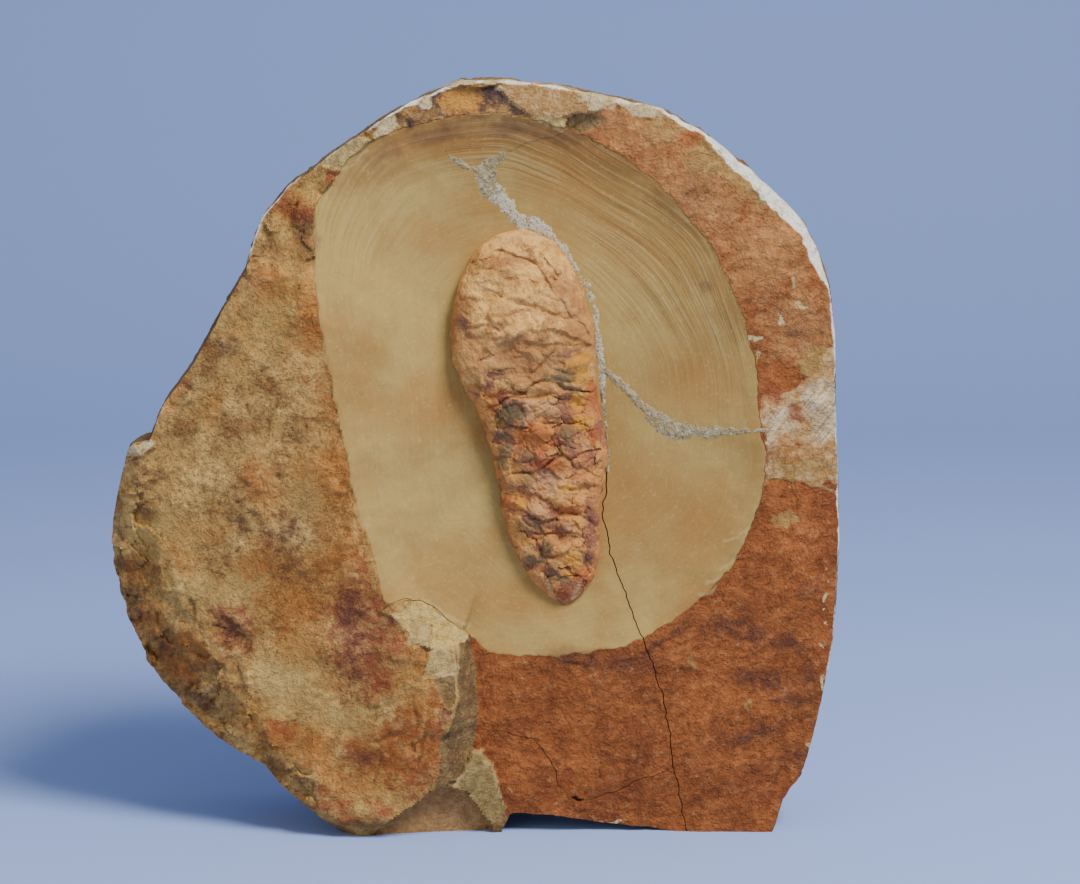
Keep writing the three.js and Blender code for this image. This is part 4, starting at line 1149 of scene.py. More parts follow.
def mark_slab(piece):
    """Keeps with each vertex where it lies: recess, bed, break, edge, file marks, stains, and the
    creases where shade is painted.
    """
    x, y, z = points_of(piece)
    spot = spots(x, z)
    behind = front_rise(x, z) + y
    edge, foot = step_edges(z)
    depth, bevel = edge_depth(x, z)
    _, radius, _ = recess_place(x, z)
    _, cavity = creased(*strayed(x, z, 0.9), SCARPS)
    near_x, near_z = strayed(x, z, 0.35)
    moved_x, moved_z = strayed(x, z, 1.2)

    fields = {f"facet_{colour}": facet_field(near_x, near_z, colour) for colour in FACET_COLOURS}
    fields["scraped"] = (1 - recess_share(x, z)) * radius
    fields["ridge"] = ridge_field(near_x, near_z)
    fields["brown_slope"] = patch_field(x, z, BROWN_AND_SHADED_SLOPES)
    fields["hatched"] = np.maximum.reduce([depth_inside(x, z, area) for area in HATCHED])
    fields["filed"] = depth_inside(x, z, FILED)
    for name, patches in STAINS.items():
        fields[name] = patch_field(moved_x, moved_z, patches)
    for name, field in fields.items():
        mark(piece, name, np.minimum(field, MARK_DEPTH - behind))

    chalky = ((x > 0) & (z > 30)) | (z > 150)
    worn = np.where(chalky, bevel, np.minimum(bevel, 0.8) - 0.75) - depth
    wear_depth = np.select([chalky & (x > 0), chalky], WEAR_DEPTHS[:2], WEAR_DEPTHS[2])
    mark(piece, "worn_edge", np.minimum(worn, wear_depth - behind))
    on_wall = np.where(z < STEP_SHOWS_TO, np.minimum(x - edge, foot - x).clip(-1, 1), -1)
    mark(piece, "broken", np.maximum(on_wall, 2 * smooth_step(behind, 0.5, 1.4) - 1))
    # How deep in a crease of the scarps each point lies. The material paints shade there.
    mark(piece, "cavity", cavity * smooth_step(-behind, -MARK_DEPTH - 1, -MARK_DEPTH))
    mark(piece, "rear", behind - REAR_DEPTH)
    mark(piece, "upper_bed", edge - x)
    mark(piece, "relief", np.where(x < edge, upper_relief(spot), split_relief(spot)))
    mark(piece, "strokes", stroke_space(x, z))
    mark(piece, "stroked", 0.2 + 0.8 * stroke_strength(x, z))


def slab_fragments(cell, crack_width):
    """The whole slab, cut, cracked and parted into its three fragments."""
    slab = bed_block("slab", cell, -1, front_rise)
    for tool in (outline_drum(), bed_block("back", BACK_CELL, 1, back_rise), ground_block()):
        combine(slab, tool, "INTERSECT")
    for index, route in enumerate(HAIRLINES):
        hairline = ribbon(
            f"hairline_{index}", route,
            lambda share: 0.04 + 0.2 * crack_width * np.sin(math.pi * share), 0.6,
            lambda x, z: smooth_bed_rise(x, z) - HAIRLINE_DEPTH,
        )
        combine(slab, hairline, "DIFFERENCE")
    for name, route, width in (("seam", SEAM, 0.3 * crack_width), ("crack", CRACK, crack_width)):
        wall = ribbon(
            name, route, lambda share: width * (0.5 - 0.15 * share), 0.7,
            lambda x, z: np.full(x.shape, -FAR),
        )
        combine(slab, wall, "DIFFERENCE")
    for item in bpy.context.selected_objects:
        item.select_set(False)
    slab.select_set(True)
    bpy.context.view_layer.objects.active = slab
    bpy.ops.mesh.separate(type="LOOSE")
    parts = sorted(bpy.context.selected_objects, key=lambda part: -len(part.data.vertices))
    for crumb in parts[3:]:
        bpy.data.objects.remove(crumb)
    main_part, *right_parts = parts[:3]
    upper, lower = sorted(right_parts, key=lambda part: -points_of(part)[2].max())
    return {"slab_main": main_part, "slab_upper_right": upper, "slab_lower_right": lower}


# ---- the animal ----


def body_relief(x, z, across):
    """Relief of the body, how deep in a crease each point is, and the number of its crumb."""
    spot = spots(x, z)
    on_trunk = smooth_step(HEAD_END - z, -1, 1)
    bend = 1.4 * across * across + 0.7 * np.sin(5 * across + 0.25 * z)
    folds = FOLD_HEIGHT * np.cos(2 * math.pi * (z - 2.2 * bend) / FOLD_PITCH)
    lumps = 0.5 * np.sin(4.2 * across + 0.5 * z) * np.cos(0.31 * z)
    rolls = 0.45 * np.sin(0.42 * z + 3 * across) + 0.3 * np.sin(5 * across - 0.5 * z)
    warped = drifted(spot, 1.2, 6, 51)
    wrinkles = 0.5 * crumpled(warped * (0.6, 1.5), 4.8, 53) + 0.2 * crumpled(warped, 1.9, 54)
    jittered = warped * (0.75, 1.1) + 0.5 * rough(warped, 1.6, 55)[:, None]
    seam, crumb, tilt = pebbles(jittered, 2.8, 56)
    crumbs = 0.3 * smooth_step(seam, 0, 0.35) + 0.8 * (crumb - 0.5) + 0.5 * tilt
    small_seam, small_crumb, small_tilt = pebbles(warped, 1.4, 58)
    crumbs += 0.15 * smooth_step(small_seam, 0, 0.3) + 0.2 * (small_crumb - 0.5) + 0.2 * small_tilt
    _, _, wide_tilt = pebbles(warped * (0.7, 1.3), 4.5, 66)
    crackle = 0.45 * wide_tilt + 0.25 * tilt + 0.14 * small_tilt
    fine = 0.12 * rough(spot, 0.8, 57)
    relief = (1 - on_trunk) * (0.9 * rolls + 0.8 * wrinkles + 0.8 * crackle + CARAPACE_LIFT)
    relief += on_trunk * (0.55 * folds + 0.6 * lumps + 0.9 * crumbs)
    cavity = on_trunk * (1 - smooth_step(seam, 0, 0.2)) * 0.22
    cavity += (1 - on_trunk) * (0.1 - wrinkles).clip(0, 0.1) * 2
    lines, line_cavity = creased(*warped.T, CREASES)
    relief += (0.85 + 0.15 * on_trunk) * lines + mounds(*warped.T, NODULES) + fine
    return relief, cavity + (0.2 + 0.5 * on_trunk) * line_cavity, crumb


def make_body():
    """The crumpled body, closed, with its underside buried in the rock."""
    form = bmesh.new()
    bmesh.ops.create_uvsphere(form, u_segments=BODY_AROUND, v_segments=BODY_ALONG, radius=1)
    kept = {}

    def place(points):
        share = np.arccos(points[:, 2].clip(-1, 1)) / math.pi
        pole = np.hypot(points[:, 0], points[:, 1]) < 1e-5
        even_turn = np.arctan2(points[:, 0], -points[:, 1])
        turn = even_turn - 0.45 * np.sin(even_turn)
        facing = np.where(pole, 0, np.cos(turn))
        across = np.where(pole, 0, np.sign(np.sin(turn)) * np.abs(np.sin(turn)) ** 0.8)
        middle_x, middle_z, half_width, crest = open_curve(BODY, share).T
        ring = np.stack([12 * np.sin(turn), 12 * np.cos(turn), middle_z], axis=1)
        uneven = 0.5 * rough(ring, 4.5, 58) + 0.3 * rough(ring, 1.8, 59)
        x = middle_x + across * (half_width + uneven * np.minimum(1, half_width / 6))
        relief, cavity, kept["crumb"] = body_relief(x, middle_z, across)
        kept["cavity"] = cavity * smooth_step(facing, -0.1, 0.1)
        relief = relief * np.minimum(1, crest / 5)
        floor = recess_rise(x, middle_z) - 0.5
        front = np.maximum(0.2, crest + relief) * np.maximum(0, facing) ** 0.6
        buried = BODY_BURIED * np.minimum(1, half_width / 4) * np.maximum(0, -facing) ** 0.6
        return np.stack([x, buried - front - floor, middle_z], axis=1)

    body = new_piece("arthropod_body", form, place)
    for name, values in kept.items():
        mark(body, name, values)
    x, _, z = points_of(body)
    mark(body, "on_trunk", HEAD_END - z + 2.4 * rough(spots(x, z), 5, 67))
    moved_x, moved_z = strayed(x, z, 0.8)
    for name, patches in BODY_STAINS.items():
        mark(body, name, patch_field(moved_x, moved_z, patches))
    return body


# ---- the filler ----


def filler_band(name, run, cell):
    """A run of granular filler with a ragged edge that thins out over the rock."""
    middle, along = polyline_points(run, cell)
    smooth = open_curve(run, np.linspace(0, 1, len(middle)))
    sideways = sideways_of(smooth[:, :2])
    rows = round(2 * max(width for _, _, width in run) * 1.3 / cell)

    def place(points):
        index = np.round((points[:, 0] + 1) / 2 * (len(smooth) - 1)).astype(int)
        side = points[:, 1]
        edge_spot = spots(along[index], 40 * np.sign(side))
        half_width = smooth[index, 2]
        uneven = 0.7 * rough(edge_spot, 3.5, 61) + 0.7 * rough(edge_spot, 1.2, 62)
        reach = side * (half_width + uneven * np.minimum(1, 0.6 * half_width)).clip(0.15, None)
        x, z = (smooth[index, :2] + sideways[index] * reach[:, None]).T
        spot = spots(x, z)
        grains = 0.16 * rough(spot, 1.9, 63) + 0.17 * rough(spot, 0.9, 64)
        crown = FILLER_PROUD * (1 - np.abs(side) ** 3) - 0.3 * np.abs(side) ** 3
        lift = np.where(points[:, 2] < -0.5, -FILLER_DEPTH, crown + grains * (1 - side**4))
        return np.stack([x, -(recess_rise(x, z) + lift), z], axis=1)

    return new_piece(name, block_form(len(smooth) - 1, rows), place)


# ---- materials ----


def linear(code):
    """A colour given as an sRGB hex code, as linear numbers."""
    channels = [int(code[start:start + 2], 16) / 255 for start in (1, 3, 5)]
    bent = [c / 12.92 if c <= 0.04045 else ((c + 0.055) / 1.055) ** 2.4 for c in channels]
    return (*bent, 1.0)


def per_metre(millimetres):
    """Texture scale for a pattern whose features are this far apart."""
    return 1000 / millimetres


def add(tree, kind, sockets=(), **settings):
    """Adds a node with its settings, and its sockets' values or links by name or number."""
    node = tree.nodes.new(kind)
    for name, value in settings.items():
        setattr(node, name, value)
    for name, value in dict(sockets).items():
        if isinstance(value, bpy.types.NodeSocket):
            tree.links.new(value, node.inputs[name])
        else:
            node.inputs[name].default_value = value
    return node


def new_material(name):
    """An empty material, its node tree and its shader."""
    material = bpy.data.materials.new(name)
    material.use_nodes = True
    tree = material.node_tree
    tree.nodes.clear()
    shader = add(tree, "ShaderNodeBsdfPrincipled", {"Roughness": 0.9, "IOR": 1.5})
    shader.inputs["Specular IOR Level"].default_value = 0.25
    add(tree, "ShaderNodeOutputMaterial", {"Surface": shader.outputs["BSDF"]})
    return material, tree, shader


def grain(tree, millimetres, detail=3.0, roughness=0.6, vector=None, distortion=0.0):
    """Random mottling with features of a given size, from 0 to 1."""
    if vector is None:
        vector = add(tree, "ShaderNodeTexCoord").outputs["Object"]
    sockets = {
        "Vector": vector, "Scale": per_metre(millimetres), "Detail": detail,
        "Roughness": roughness, "Distortion": distortion,
    }
    return add(tree, "ShaderNodeTexNoise", sockets).outputs["Fac"]


def mask_of(tree, pattern, low, high, least=0.0):
    """Where a pattern, or a number kept with each vertex, has passed from low to high."""
    if isinstance(pattern, str):
        pattern = add(tree, "ShaderNodeAttribute", attribute_name=pattern).outputs["Fac"]
    sockets = {"Value": pattern, "From Min": low, "From Max": high, "To Min": least}
    passed = add(tree, "ShaderNodeMapRange", sockets, interpolation_type="SMOOTHSTEP")
    return passed.outputs["Result"]


def ragged(tree, name, noise, reach, softness):
    """Inside the zero line of a number kept with each vertex, with the line strayed by noise."""
    kept = add(tree, "ShaderNodeAttribute", attribute_name=name).outputs["Fac"]
    shift = add(
        tree, "ShaderNodeMath", {0: noise, 1: 2 * reach, 2: -reach}, operation="MULTIPLY_ADD"
    ).outputs[0]
    moved = add(tree, "ShaderNodeMath", {0: kept, 1: shift}, operation="ADD").outputs[0]
    return mask_of(tree, moved, -softness, softness)


def lines_where(tree, pattern, level, width):
    """Thin lines where a pattern passes a level."""
    off = add(tree, "ShaderNodeMath", {0: pattern, 1: level}, operation="SUBTRACT").outputs[0]
    distance = add(tree, "ShaderNodeMath", {0: off}, operation="ABSOLUTE").outputs[0]
    return mask_of(tree, distance, width, 0)


def layered(tree, colour, layers):
    """Lays colours over one another. A layer is its colour, then where it lies, then how
    strongly: numbers or further masks. Where it lies is a mask, or what mask_of makes one from."""
    for top, mask, *strengths in layers:
        if isinstance(mask, tuple):
            mask = mask_of(tree, *mask)
        for strength in strengths:
            weaker = add(tree, "ShaderNodeMath", {0: mask, 1: strength}, operation="MULTIPLY")
            mask = weaker.outputs[0]
        sockets = {0: mask, 6: colour, 7: linear(top) if isinstance(top, str) else top}
        colour = add(tree, "ShaderNodeMix", sockets, data_type="RGBA").outputs[2]
    return colour


def finish_shader(tree, shader, colour, height, strength, distance):
    """Gives a shader its colour, and the small relief that the mesh leaves out."""
    tree.links.new(colour, shader.inputs["Base Color"])
    sockets = {"Height": height, "Strength": strength, "Distance": distance * MM}
    bump = add(tree, "ShaderNodeBump", sockets)
    tree.links.new(bump.outputs["Normal"], shader.inputs["Normal"])


def rust_bed(tree, settings, broad, middle, small, tiny, flaking):
    """Orange-brown iron stain with a fine light and dark grain."""
    return layered(tree, linear("#9A562C"), [
        (tuple(settings.rust_colour), (middle, 0.36, 0.56)),
        ("#84452A", (broad, 0.5, 0.66), 0.4),
        ("#CB8E58", (small, 0.56, 0.72), 0.4),
        ("#6A3A20", (small, 0.43, 0.3), 0.45),
        ("#DBA068", (tiny, 0.6, 0.72), 0.35),
        ("#5A321C", (tiny, 0.42, 0.32), 0.38),
        ("#4E2A18", lines_where(tree, flaking, 0.5, 0.02), 0.1),
        ("#D59A62", lines_where(tree, flaking, 0.53, 0.016), 0.14),
    ])


def ochre_bed(tree, settings, broad, middle, small, tiny, flaking):
    """Golden weathered stone with orange, pale flecks and dark specks."""
    return layered(tree, linear("#B28A4C"), [
        (tuple(settings.ochre_colour), (middle, 0.36, 0.56)),
        ("#C87C2C", (broad, 0.46, 0.6), 0.55),
        ("#A0663A", (middle, 0.45, 0.36), 0.55),
        ("#E2B260", (small, 0.54, 0.7), 0.5),
        ("#70502C", (small, 0.43, 0.3), 0.6),
        ("#F0BE66", (tiny, 0.58, 0.7), 0.45),
        ("#5C3A20", (tiny, 0.43, 0.33), 0.5),
        ("#4C3424", lines_where(tree, flaking, 0.5, 0.02), 0.14),
        ("#E8C88E", lines_where(tree, flaking, 0.535, 0.016), 0.14),
    ])


def broken_stone(tree, broad, middle, small, tiny):
    """Grey-tan stone of a break across the bedding, with rust on the back of the slab."""
    rear = mask_of(tree, "rear", 0, 8)
    return layered(tree, linear("#6E5232"), [
        ("#86683E", (middle, 0.38, 0.6)),
        ("#A88A58", (small, 0.54, 0.7), 0.5),
        ("#523C28", (small, 0.43, 0.3), 0.5),
        ("#BFA271", (tiny, 0.6, 0.72), 0.4),
        ("#44301F", (tiny, 0.42, 0.32), 0.5),
        ("#B07A48", (middle, 0.4, 0.6), rear, 0.5),
        ("#A8623A", (broad, 0.44, 0.6), rear, 0.6),
    ])


def scraped_stone(tree, settings, broad, streaks, stroked):
    """Khaki stone, warm in patches and streaked by the scraper."""
    warm = grain(tree, 34, 3, 0.5)
    powdery = grain(tree, 0.9, 3, 0.7)
    return layered(tree, linear("#A57F42"), [
        (tuple(settings.khaki_colour), (broad, 0.36, 0.6)),
        ("#A5692F", (warm, 0.5, 0.68), 0.45),
        ("#A5682C", ragged(tree, "warm", broad, 2, 0.6), 0.4),
        # Brown stone and painted shade on the upper slopes of the recess.
        ("#8E6234", ("brown_slope", -0.2, 0.7), 0.3),
        ("#C4AC70", (streaks, 0.5, 0.64), stroked, 0.34),
        ("#7E582B", (streaks, 0.5, 0.36), stroked, 0.28),
        ("#CDBA88", (powdery, 0.56, 0.7), 0.25),
        ("#7E6238", (powdery, 0.44, 0.3), 0.22),
    ])


def dressed_stone(tree, middle, small, hatching):
    """Stone rubbed with a file: peach and cream, finely hatched where the file bit."""
    hatched = ragged(tree, "hatched", middle, 3, 1.2)
    return layered(tree, linear("#D09A58"), [
        ("#E8BA7C", (middle, 0.4, 0.58)),
        ("#F4D8A0", (small, 0.53, 0.66), 0.7),
        ("#AC6E36", (small, 0.43, 0.32), 0.45),
        ("#F0D4A0", hatched, 0.6),
        ("#FAE6BC", (hatching, 0.46, 0.58), hatched, 0.6),
        ("#BE8E5C", (hatching, 0.5, 0.38), hatched, 0.4),
    ])


def slab_material(settings):
    """Mudstone, split along its bedding and stained by iron: matt, flaky, rust over khaki."""
    material, tree, shader = new_material("iron_stained_mudstone_split")
    broad = grain(tree, 26, 3)
    middle = grain(tree, 8, 5, 0.6)
    mottle = grain(tree, 5, 6, 0.8)
    small = grain(tree, 2.2, 4, 0.65)
    tiny = grain(tree, 0.75, 2, 0.6)
    flaking = grain(tree, 5, 5, 0.62, distortion=1.2)
    speckle = grain(tree, 2.6, 5, 0.75)

    # Tool marks follow the strokes, and are long in their direction.
    strokes = add(tree, "ShaderNodeAttribute", attribute_name="strokes").outputs["Vector"]
    lengthwise = (0.05 * MM, 0.05 * MM, MM)
    long_way = add(tree, "ShaderNodeMapping", {"Vector": strokes, "Scale": lengthwise}).outputs[0]
    streaks = grain(tree, 1 / STREAKS_PER_MM, 4, 0.7, long_way)
    hatching = grain(tree, 1 / HATCHES_PER_MM, 1, 0.5, long_way)
    stroked = add(tree, "ShaderNodeAttribute", attribute_name="stroked").outputs["Fac"]

    rust = rust_bed(tree, settings, broad, middle, small, tiny, flaking)
    ochre = ochre_bed(tree, settings, broad, middle, small, tiny, flaking)
    colour = layered(tree, rust, [
        (ochre, ragged(tree, "upper_bed", small, 0.8, 0.3)),
        (dressed_stone(tree, middle, small, hatching), ragged(tree, "filed", middle, 3, 0.4)),
    ])
    # The first of these lays a lighter peach over the upper right of the face.
    for name, code, strength, softness, speckled in (
        ("weathered", "#E6A662", 0.75, 0.8, 0.3), ("tan", "#CCA85E", 0.75, 0.4, 0.35),
        ("rust", "#B0583A", 0.8, 0.6, 0.4), ("umber", "#5C3C34", 0.7, 0.9, 0.6),
        ("orange", "#BE6E2C", 0.65, 0.8, 0.4),
    ):
        stain = ragged(tree, name, mottle, 2.6, softness)
        broken_up = mask_of(tree, speckle, 0.45, 0.53, least=1 - speckled)
        colour = layered(tree, colour, [(code, stain, broken_up, strength)])
    # Painted shade: the low places of the fine relief are darkened, and the raised ones are left as
    # they are.
    raised = mask_of(tree, "relief", -0.35, 0.45)
    painted_hollow_shade = layered(tree, linear("#CFC9C5"), [("#FFFFFF", raised)])
    shaded = add(
        tree, "ShaderNodeMix", {0: 1.0, 6: colour, 7: painted_hollow_shade}, data_type="RGBA", blend_type="MULTIPLY"
    ).outputs[2]

    stone = broken_stone(tree, broad, middle, small, tiny)
    colour = layered(tree, shaded, [(stone, ragged(tree, "broken", small, 0.5, 0.2))])
    for name, (dark, light) in FACET_COLOURS.items():
        tone = layered(tree, linear(dark), [(light, (small, 0.36, 0.62)), (light, (tiny, 0.58, 0.7))])
        inside = ragged(tree, f"facet_{name}", small, 0.5, 0.1)
        colour = layered(tree, colour, [(tone, inside, 0.92)])

    in_pocket = mask_of(tree, "facet_pocket", -0.6, 0.2)
    in_recess = ragged(tree, "scraped", small, 0.6, 0.12)
    chalk = layered(tree, linear("#F6F0DC"), [("#D2BC8C", (small, 0.52, 0.68))])
    cream = layered(tree, tuple(settings.cream_colour), [("#AB8850", (small, 0.5, 0.66))])
    colour = layered(tree, colour, [
        ("#453234", ragged(tree, "umber", mottle, 2, 0.4), in_pocket, 0.85),
        ("#CC8A38", ragged(tree, "orange", mottle, 2, 0.4), in_pocket, 0.8),
        (chalk, ragged(tree, "worn_edge", small, 0.7, 0.2), 0.9),
        (cream, ragged(tree, "cream", small, 0.8, 0.2)),
        # Painted shade in the creases of the scarps.
        ("#5A3A22", ("cavity", 0.1, 0.8), 0.3),
        (scraped_stone(tree, settings, broad, streaks, stroked), in_recess),
        ("#74503A", ragged(tree, "umber", mottle, 2, 0.8), in_recess, 0.5),
        # Pale along sharp ridges: partly rubbed wear and partly a painted highlight.
        ("#C8AA70", ragged(tree, "ridge", small, 2.4, 0.5), 0.45),
    ])

    grainy = add(tree, "ShaderNodeMath", {0: small, 1: tiny}, operation="ADD").outputs[0]
    ledges = mask_of(tree, flaking, 0.48, 0.53)
    flaky = add(
        tree, "ShaderNodeMath", {0: ledges, 1: 0.35, 2: grainy}, operation="MULTIPLY_ADD"
    ).outputs[0]
    tooled = add(tree, "ShaderNodeMath", {0: streaks, 1: stroked}, operation="MULTIPLY").outputs[0]
    height = add(
        tree, "ShaderNodeMix", {0: in_recess, 2: flaky, 3: tooled}, data_type="FLOAT"
    ).outputs[0]
    finish_shader(tree, shader, colour, height, 0.9, 0.6)
    return material


def body_material(settings):
    """A mineral cast of the animal: matt crust in peach and brown, with shade painted into its creases
    and under its folds, and highlights painted on its lumps.
    """
    material, tree, shader = new_material("fossil_cast_mineral_crust")
    broad = grain(tree, 11, 4, 0.6)
    middle = grain(tree, 5, 5, 0.6)
    patchy = grain(tree, 7, 5, 0.65)
    small = grain(tree, 1.6, 4, 0.65)
    tiny = grain(tree, 0.6, 2, 0.6)
    head = layered(tree, linear("#BC8448"), [
        (tuple(settings.head_colour), (middle, 0.38, 0.56)),
        ("#C68C42", (broad, 0.48, 0.6), 0.5),
        ("#A86834", (patchy, 0.46, 0.36), 0.5),
        ("#F2BE72", (small, 0.54, 0.7), 0.4),
        ("#98602F", (small, 0.44, 0.3), 0.5),
        ("#F8CA80", (tiny, 0.58, 0.7), 0.35),
        ("#7E4E2C", (tiny, 0.42, 0.32), 0.4),
    ])
    trunk = layered(tree, linear("#A06242"), [
        (tuple(settings.trunk_colour), (middle, 0.38, 0.58)),
        ("#DA9A48", ("crumb", 0.6, 0.68), 0.55),
        ("#7E4E40", ("crumb", 0.24, 0.18), 0.5),
        ("#DAA676", (small, 0.54, 0.7), 0.45),
        ("#664636", (small, 0.42, 0.3), 0.5),
        ("#EAB880", (tiny, 0.58, 0.7), 0.3),
        ("#54382A", (tiny, 0.42, 0.32), 0.4),
    ])
    colour = layered(tree, head, [(trunk, ragged(tree, "on_trunk", small, 3.4, 1.8))])
    # Brown also paints shade under the folds and along the head's left edge, and pale also paints
    # highlights on the lumps and on the top of the head.
    for name, code, strength in (
        ("brown", "#985F38", 0.6), ("red", "#A65028", 0.68), ("pale", "#DEAC72", 0.4),
        ("orange", "#D08C30", 0.85), ("purple", "#68463E", 0.55), ("green", "#665C40", 0.68),
        ("dark_green", "#443E2A", 0.68),
    ):
        colour = layered(tree, colour, [(code, ragged(tree, name, small, 1.8, 0.4), strength)])
    # Painted shade in the creases of the body.
    colour = layered(tree, colour, [("#62382A", ("cavity", 0.1, 0.9), 0.5)])
    flaky = add(tree, "ShaderNodeMath", {0: small, 1: tiny}, operation="ADD").outputs[0]
    finish_shader(tree, shader, colour, flaky, 0.8, 0.5)
    return material


def filler_material(settings):
    """Mortar of stone dust, pressed in and left rough: grey, granular, chalky at its edges."""
    material, tree, shader = new_material("stone_dust_mortar_pressed")
    broad = grain(tree, 3, 4, 0.7)
    small = grain(tree, 1.6, 3, 0.7)
    tiny = grain(tree, 0.6, 2, 0.7)
    colour = layered(tree, tuple(settings.filler_colour), [
        ("#B5A684", (small, 0.45, 0.62)),
        ("#A78E5A", (broad, 0.46, 0.58), 0.7),
        ("#D6CCB0", ragged(tree, "chalky", small, 1.6, 0.3), 0.6),
        ("#5E5038", (tiny, 0.45, 0.33), 0.75),
        ("#E4DCC6", (tiny, 0.58, 0.7), 0.5),
    ])
    finish_shader(tree, shader, colour, tiny, 0.9, 0.5)
    return material


def floor_material(settings):
    """Matt painted board: plain, pale and a little blue."""
    material, tree, shader = new_material("painted_board_matt")
    shader.inputs["Base Color"].default_value = tuple(settings.floor_colour)
    shader.inputs["Roughness"].default_value = 0.95
    return material


# ---- the add-on ----


def length_setting(name, description, millimetres, least, most):
    """A length of the add-on, in metres."""
    return FloatProperty(
        name=name, description=description, default=millimetres * MM, min=least * MM,
        max=most * MM, unit="LENGTH", precision=5,
    )


def colour_setting(name, description, code):
    """A colour of the add-on."""
    return FloatVectorProperty(
        name=name, description=description, default=linear(code), subtype="COLOR", size=4,
        min=0, max=1,
    )


def power_setting(name, description, watts):
    """The power of a light of the add-on."""
    return FloatProperty(
        name=name, description=description, default=watts, min=0, max=200, unit="POWER"
    )


class FossilSlabSettings(bpy.types.PropertyGroup):
    """Sizes and colours of the slab, the animal, the filler and the stage."""

    front_cell: length_setting(
        "Face detail", "Distance between the points of the slab's face", 0.57, 0.4, 4
    )
    crack_width: length_setting(
        "Crack width", "Width of the open crack below the animal", 0.34, 0.1, 1.5
    )
    filler_cell: length_setting(
        "Filler detail", "Distance between the points of the filler", 0.4, 0.2, 2
    )
    rust_colour: colour_setting("Rust", "Iron stain on the lower bed", "#BA6C36")
    ochre_colour: colour_setting("Ochre", "Weathered upper bed", "#E2B264")
    khaki_colour: colour_setting("Khaki", "Unweathered stone in the scraped recess", "#B49552")
    cream_colour: colour_setting("Cream", "Freshly broken or filed stone", "#D0B684")
    head_colour: colour_setting("Head", "Cast of the animal's head", "#EAB060")
    trunk_colour: colour_setting("Trunk", "Cast of the animal's trunk", "#C88142")
    filler_colour: colour_setting("Filler", "Mortar in the break", "#9C8862")
    floor_colour: colour_setting("Floor", "Floor and backdrop", "#A2B9EE")
    key_power: power_setting("Key light", "Power of the main light", 20.8)
    fill_power: power_setting("Fill light", "Power of the soft light from the left", 4.2)


class FossilMakeSlab(bpy.types.Operator):
    """Make the three fragments of the slab"""

    bl_idname = "fossil.make_slab"
    bl_label = "Slab fragments"

    def execute(self, context):
        settings = context.scene.fossil_slab
        material = slab_material(settings)
        pieces = slab_fragments(settings.front_cell / MM, settings.crack_width / MM)
        for node, piece in pieces.items():
            piece.name = f"{node}_stone"
            mark_slab(piece)
            shade(piece, 42)
            finish_piece(piece, node, material)
        return {"FINISHED"}


class FossilMakeAnimal(bpy.types.Operator):
    """Make the mineral cast of the arthropod"""

    bl_idname = "fossil.make_animal"
    bl_label = "Arthropod"

    def execute(self, context):
        body = make_body()
        shade(body, 50)
        finish_piece(body, "arthropod", body_material(context.scene.fossil_slab))
        return {"FINISHED"}


class FossilMakeFiller(bpy.types.Operator):
    """Make the mortar that holds the fragments together"""

    bl_idname = "fossil.make_filler"
    bl_label = "Repair filler"

    def execute(self, context):
        settings = context.scene.fossil_slab
        cell = settings.filler_cell / MM
        mortar, *others = (
            filler_band(f"filler_band_{index}", run, cell) for index, run in enumerate(FILLER_RUNS)
        )
        for band in others:
            combine(mortar, band, "UNION")
        mortar.name = "filler_mortar"
        shade(mortar, 50)
        x, _, z = points_of(mortar)
        mark(mortar, "chalky", patch_field(x, z, CHALKY))
        finish_piece(mortar, "repair_filler", filler_material(settings))
        return {"FINISHED"}


class FossilMakeStage(bpy.types.Operator):
    """Make the floor, the lights and the camera"""

    bl_idname = "fossil.make_stage"
    bl_label = "Stage"

    def execute(self, context):
        settings = context.scene.fossil_slab
        scene = context.scene
        floor = new_floor()
        floor.data.materials.append(floor_material(settings))
        for name, (location, size) in LIGHTS.items():
            add_light(scene, f"{name}_light", location, size, getattr(settings, f"{name}_power"))
        world = bpy.data.worlds.new("studio")
        world.use_nodes = True
        background = world.node_tree.nodes["Background"]
        background.inputs["Color"].default_value = linear(SKY_COLOUR)
        background.inputs["Strength"].default_value = SKY_STRENGTH
        scene.world = world
        scene.camera = new_camera(scene)
        return {"FINISHED"}


def new_floor():
    """A floor that sweeps up into a backdrop far behind the slab."""
    form = bmesh.new()
    bmesh.ops.create_grid(form, x_segments=2, y_segments=FLOOR_STRIPS, size=1)

    def place(points):
        run = (points[:, 1] + 1) / 2 * FLOOR_RUN
        turn = ((run - FLOOR_FLAT) / FLOOR_RADIUS).clip(0, math.pi / 2)
        past = (run - FLOOR_FLAT - FLOOR_RADIUS * math.pi / 2).clip(0, None)
        y = FLOOR_FRONT + np.minimum(run, FLOOR_FLAT) + FLOOR_RADIUS * np.sin(turn)
        z = FLOOR_RADIUS * (1 - np.cos(turn)) + past
        return np.stack([points[:, 0] * FLOOR_HALF_WIDTH, y, z], axis=1)

    floor = new_piece("floor", form, place)
    floor.data.shade_smooth()
    return floor


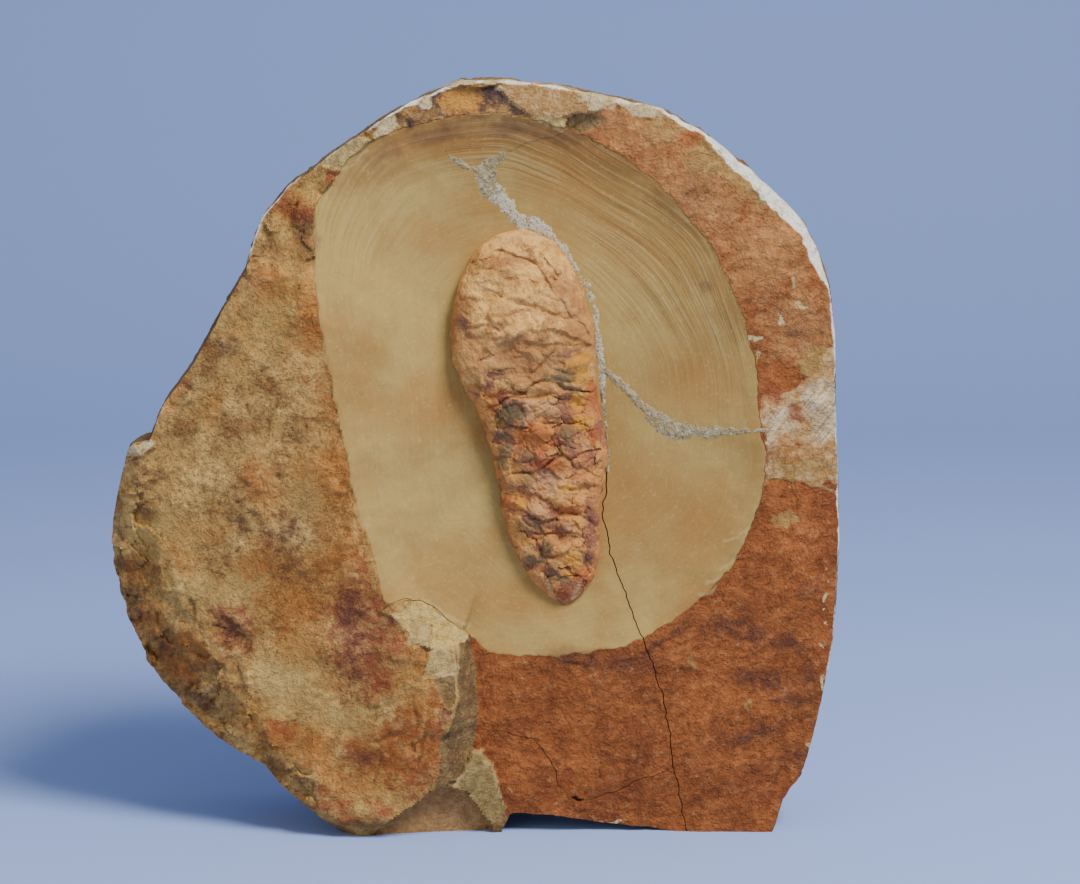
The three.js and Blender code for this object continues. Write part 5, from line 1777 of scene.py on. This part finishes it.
def aim(thing, target):
    """Turns a light or camera to look at a point."""
    thing.rotation_euler = (Vector(target) - thing.location).to_track_quat("-Z", "Y").to_euler()


def add_light(scene, name, location, size, power):
    """A soft square light aimed at the slab."""
    light = bpy.data.lights.new(name, "AREA")
    light.size = size
    light.energy = power
    lamp = bpy.data.objects.new(name, light)
    lamp.location = location
    aim(lamp, LIGHT_TARGET)
    scene.collection.objects.link(lamp)


def new_camera(scene):
    """A camera a little above the slab and in front of it."""
    data = bpy.data.cameras.new("camera")
    data.lens = CAMERA_LENS
    data.sensor_width = CAMERA_SENSOR
    camera = bpy.data.objects.new("camera", data)
    scene.collection.objects.link(camera)
    target = Vector(CAMERA_TARGET) * MM
    elevation = math.radians(CAMERA_ELEVATION)
    away = Vector((0, -math.cos(elevation), math.sin(elevation)))
    camera.location = target + CAMERA_DISTANCE * away
    aim(camera, target)
    return camera


class FossilSlabPanel(bpy.types.Panel):
    """Sizes, colours and makers of the fossil slab"""

    bl_idname = "VIEW3D_PT_fossil_slab"
    bl_label = "Fossil Slab"
    bl_space_type = "VIEW_3D"
    bl_region_type = "UI"
    bl_category = "Fossil"

    def draw(self, context):
        layout = self.layout
        settings = context.scene.fossil_slab
        for name in FossilSlabSettings.__annotations__:
            layout.prop(settings, name)
        for operator in OPERATORS:
            layout.operator(operator.bl_idname)


OPERATORS = (FossilMakeSlab, FossilMakeAnimal, FossilMakeFiller, FossilMakeStage)
CLASSES = (FossilSlabSettings, *OPERATORS, FossilSlabPanel)


def register():
    for item in CLASSES:
        bpy.utils.register_class(item)
    bpy.types.Scene.fossil_slab = PointerProperty(type=FossilSlabSettings)


def unregister():
    del bpy.types.Scene.fossil_slab
    for item in reversed(CLASSES):
        bpy.utils.unregister_class(item)


def main():
    """Registers the add-on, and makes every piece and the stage."""
    register()
    bpy.ops.fossil.make_slab()
    bpy.ops.fossil.make_animal()
    bpy.ops.fossil.make_filler()
    bpy.ops.fossil.make_stage()


if __name__ == "__main__":
    main()
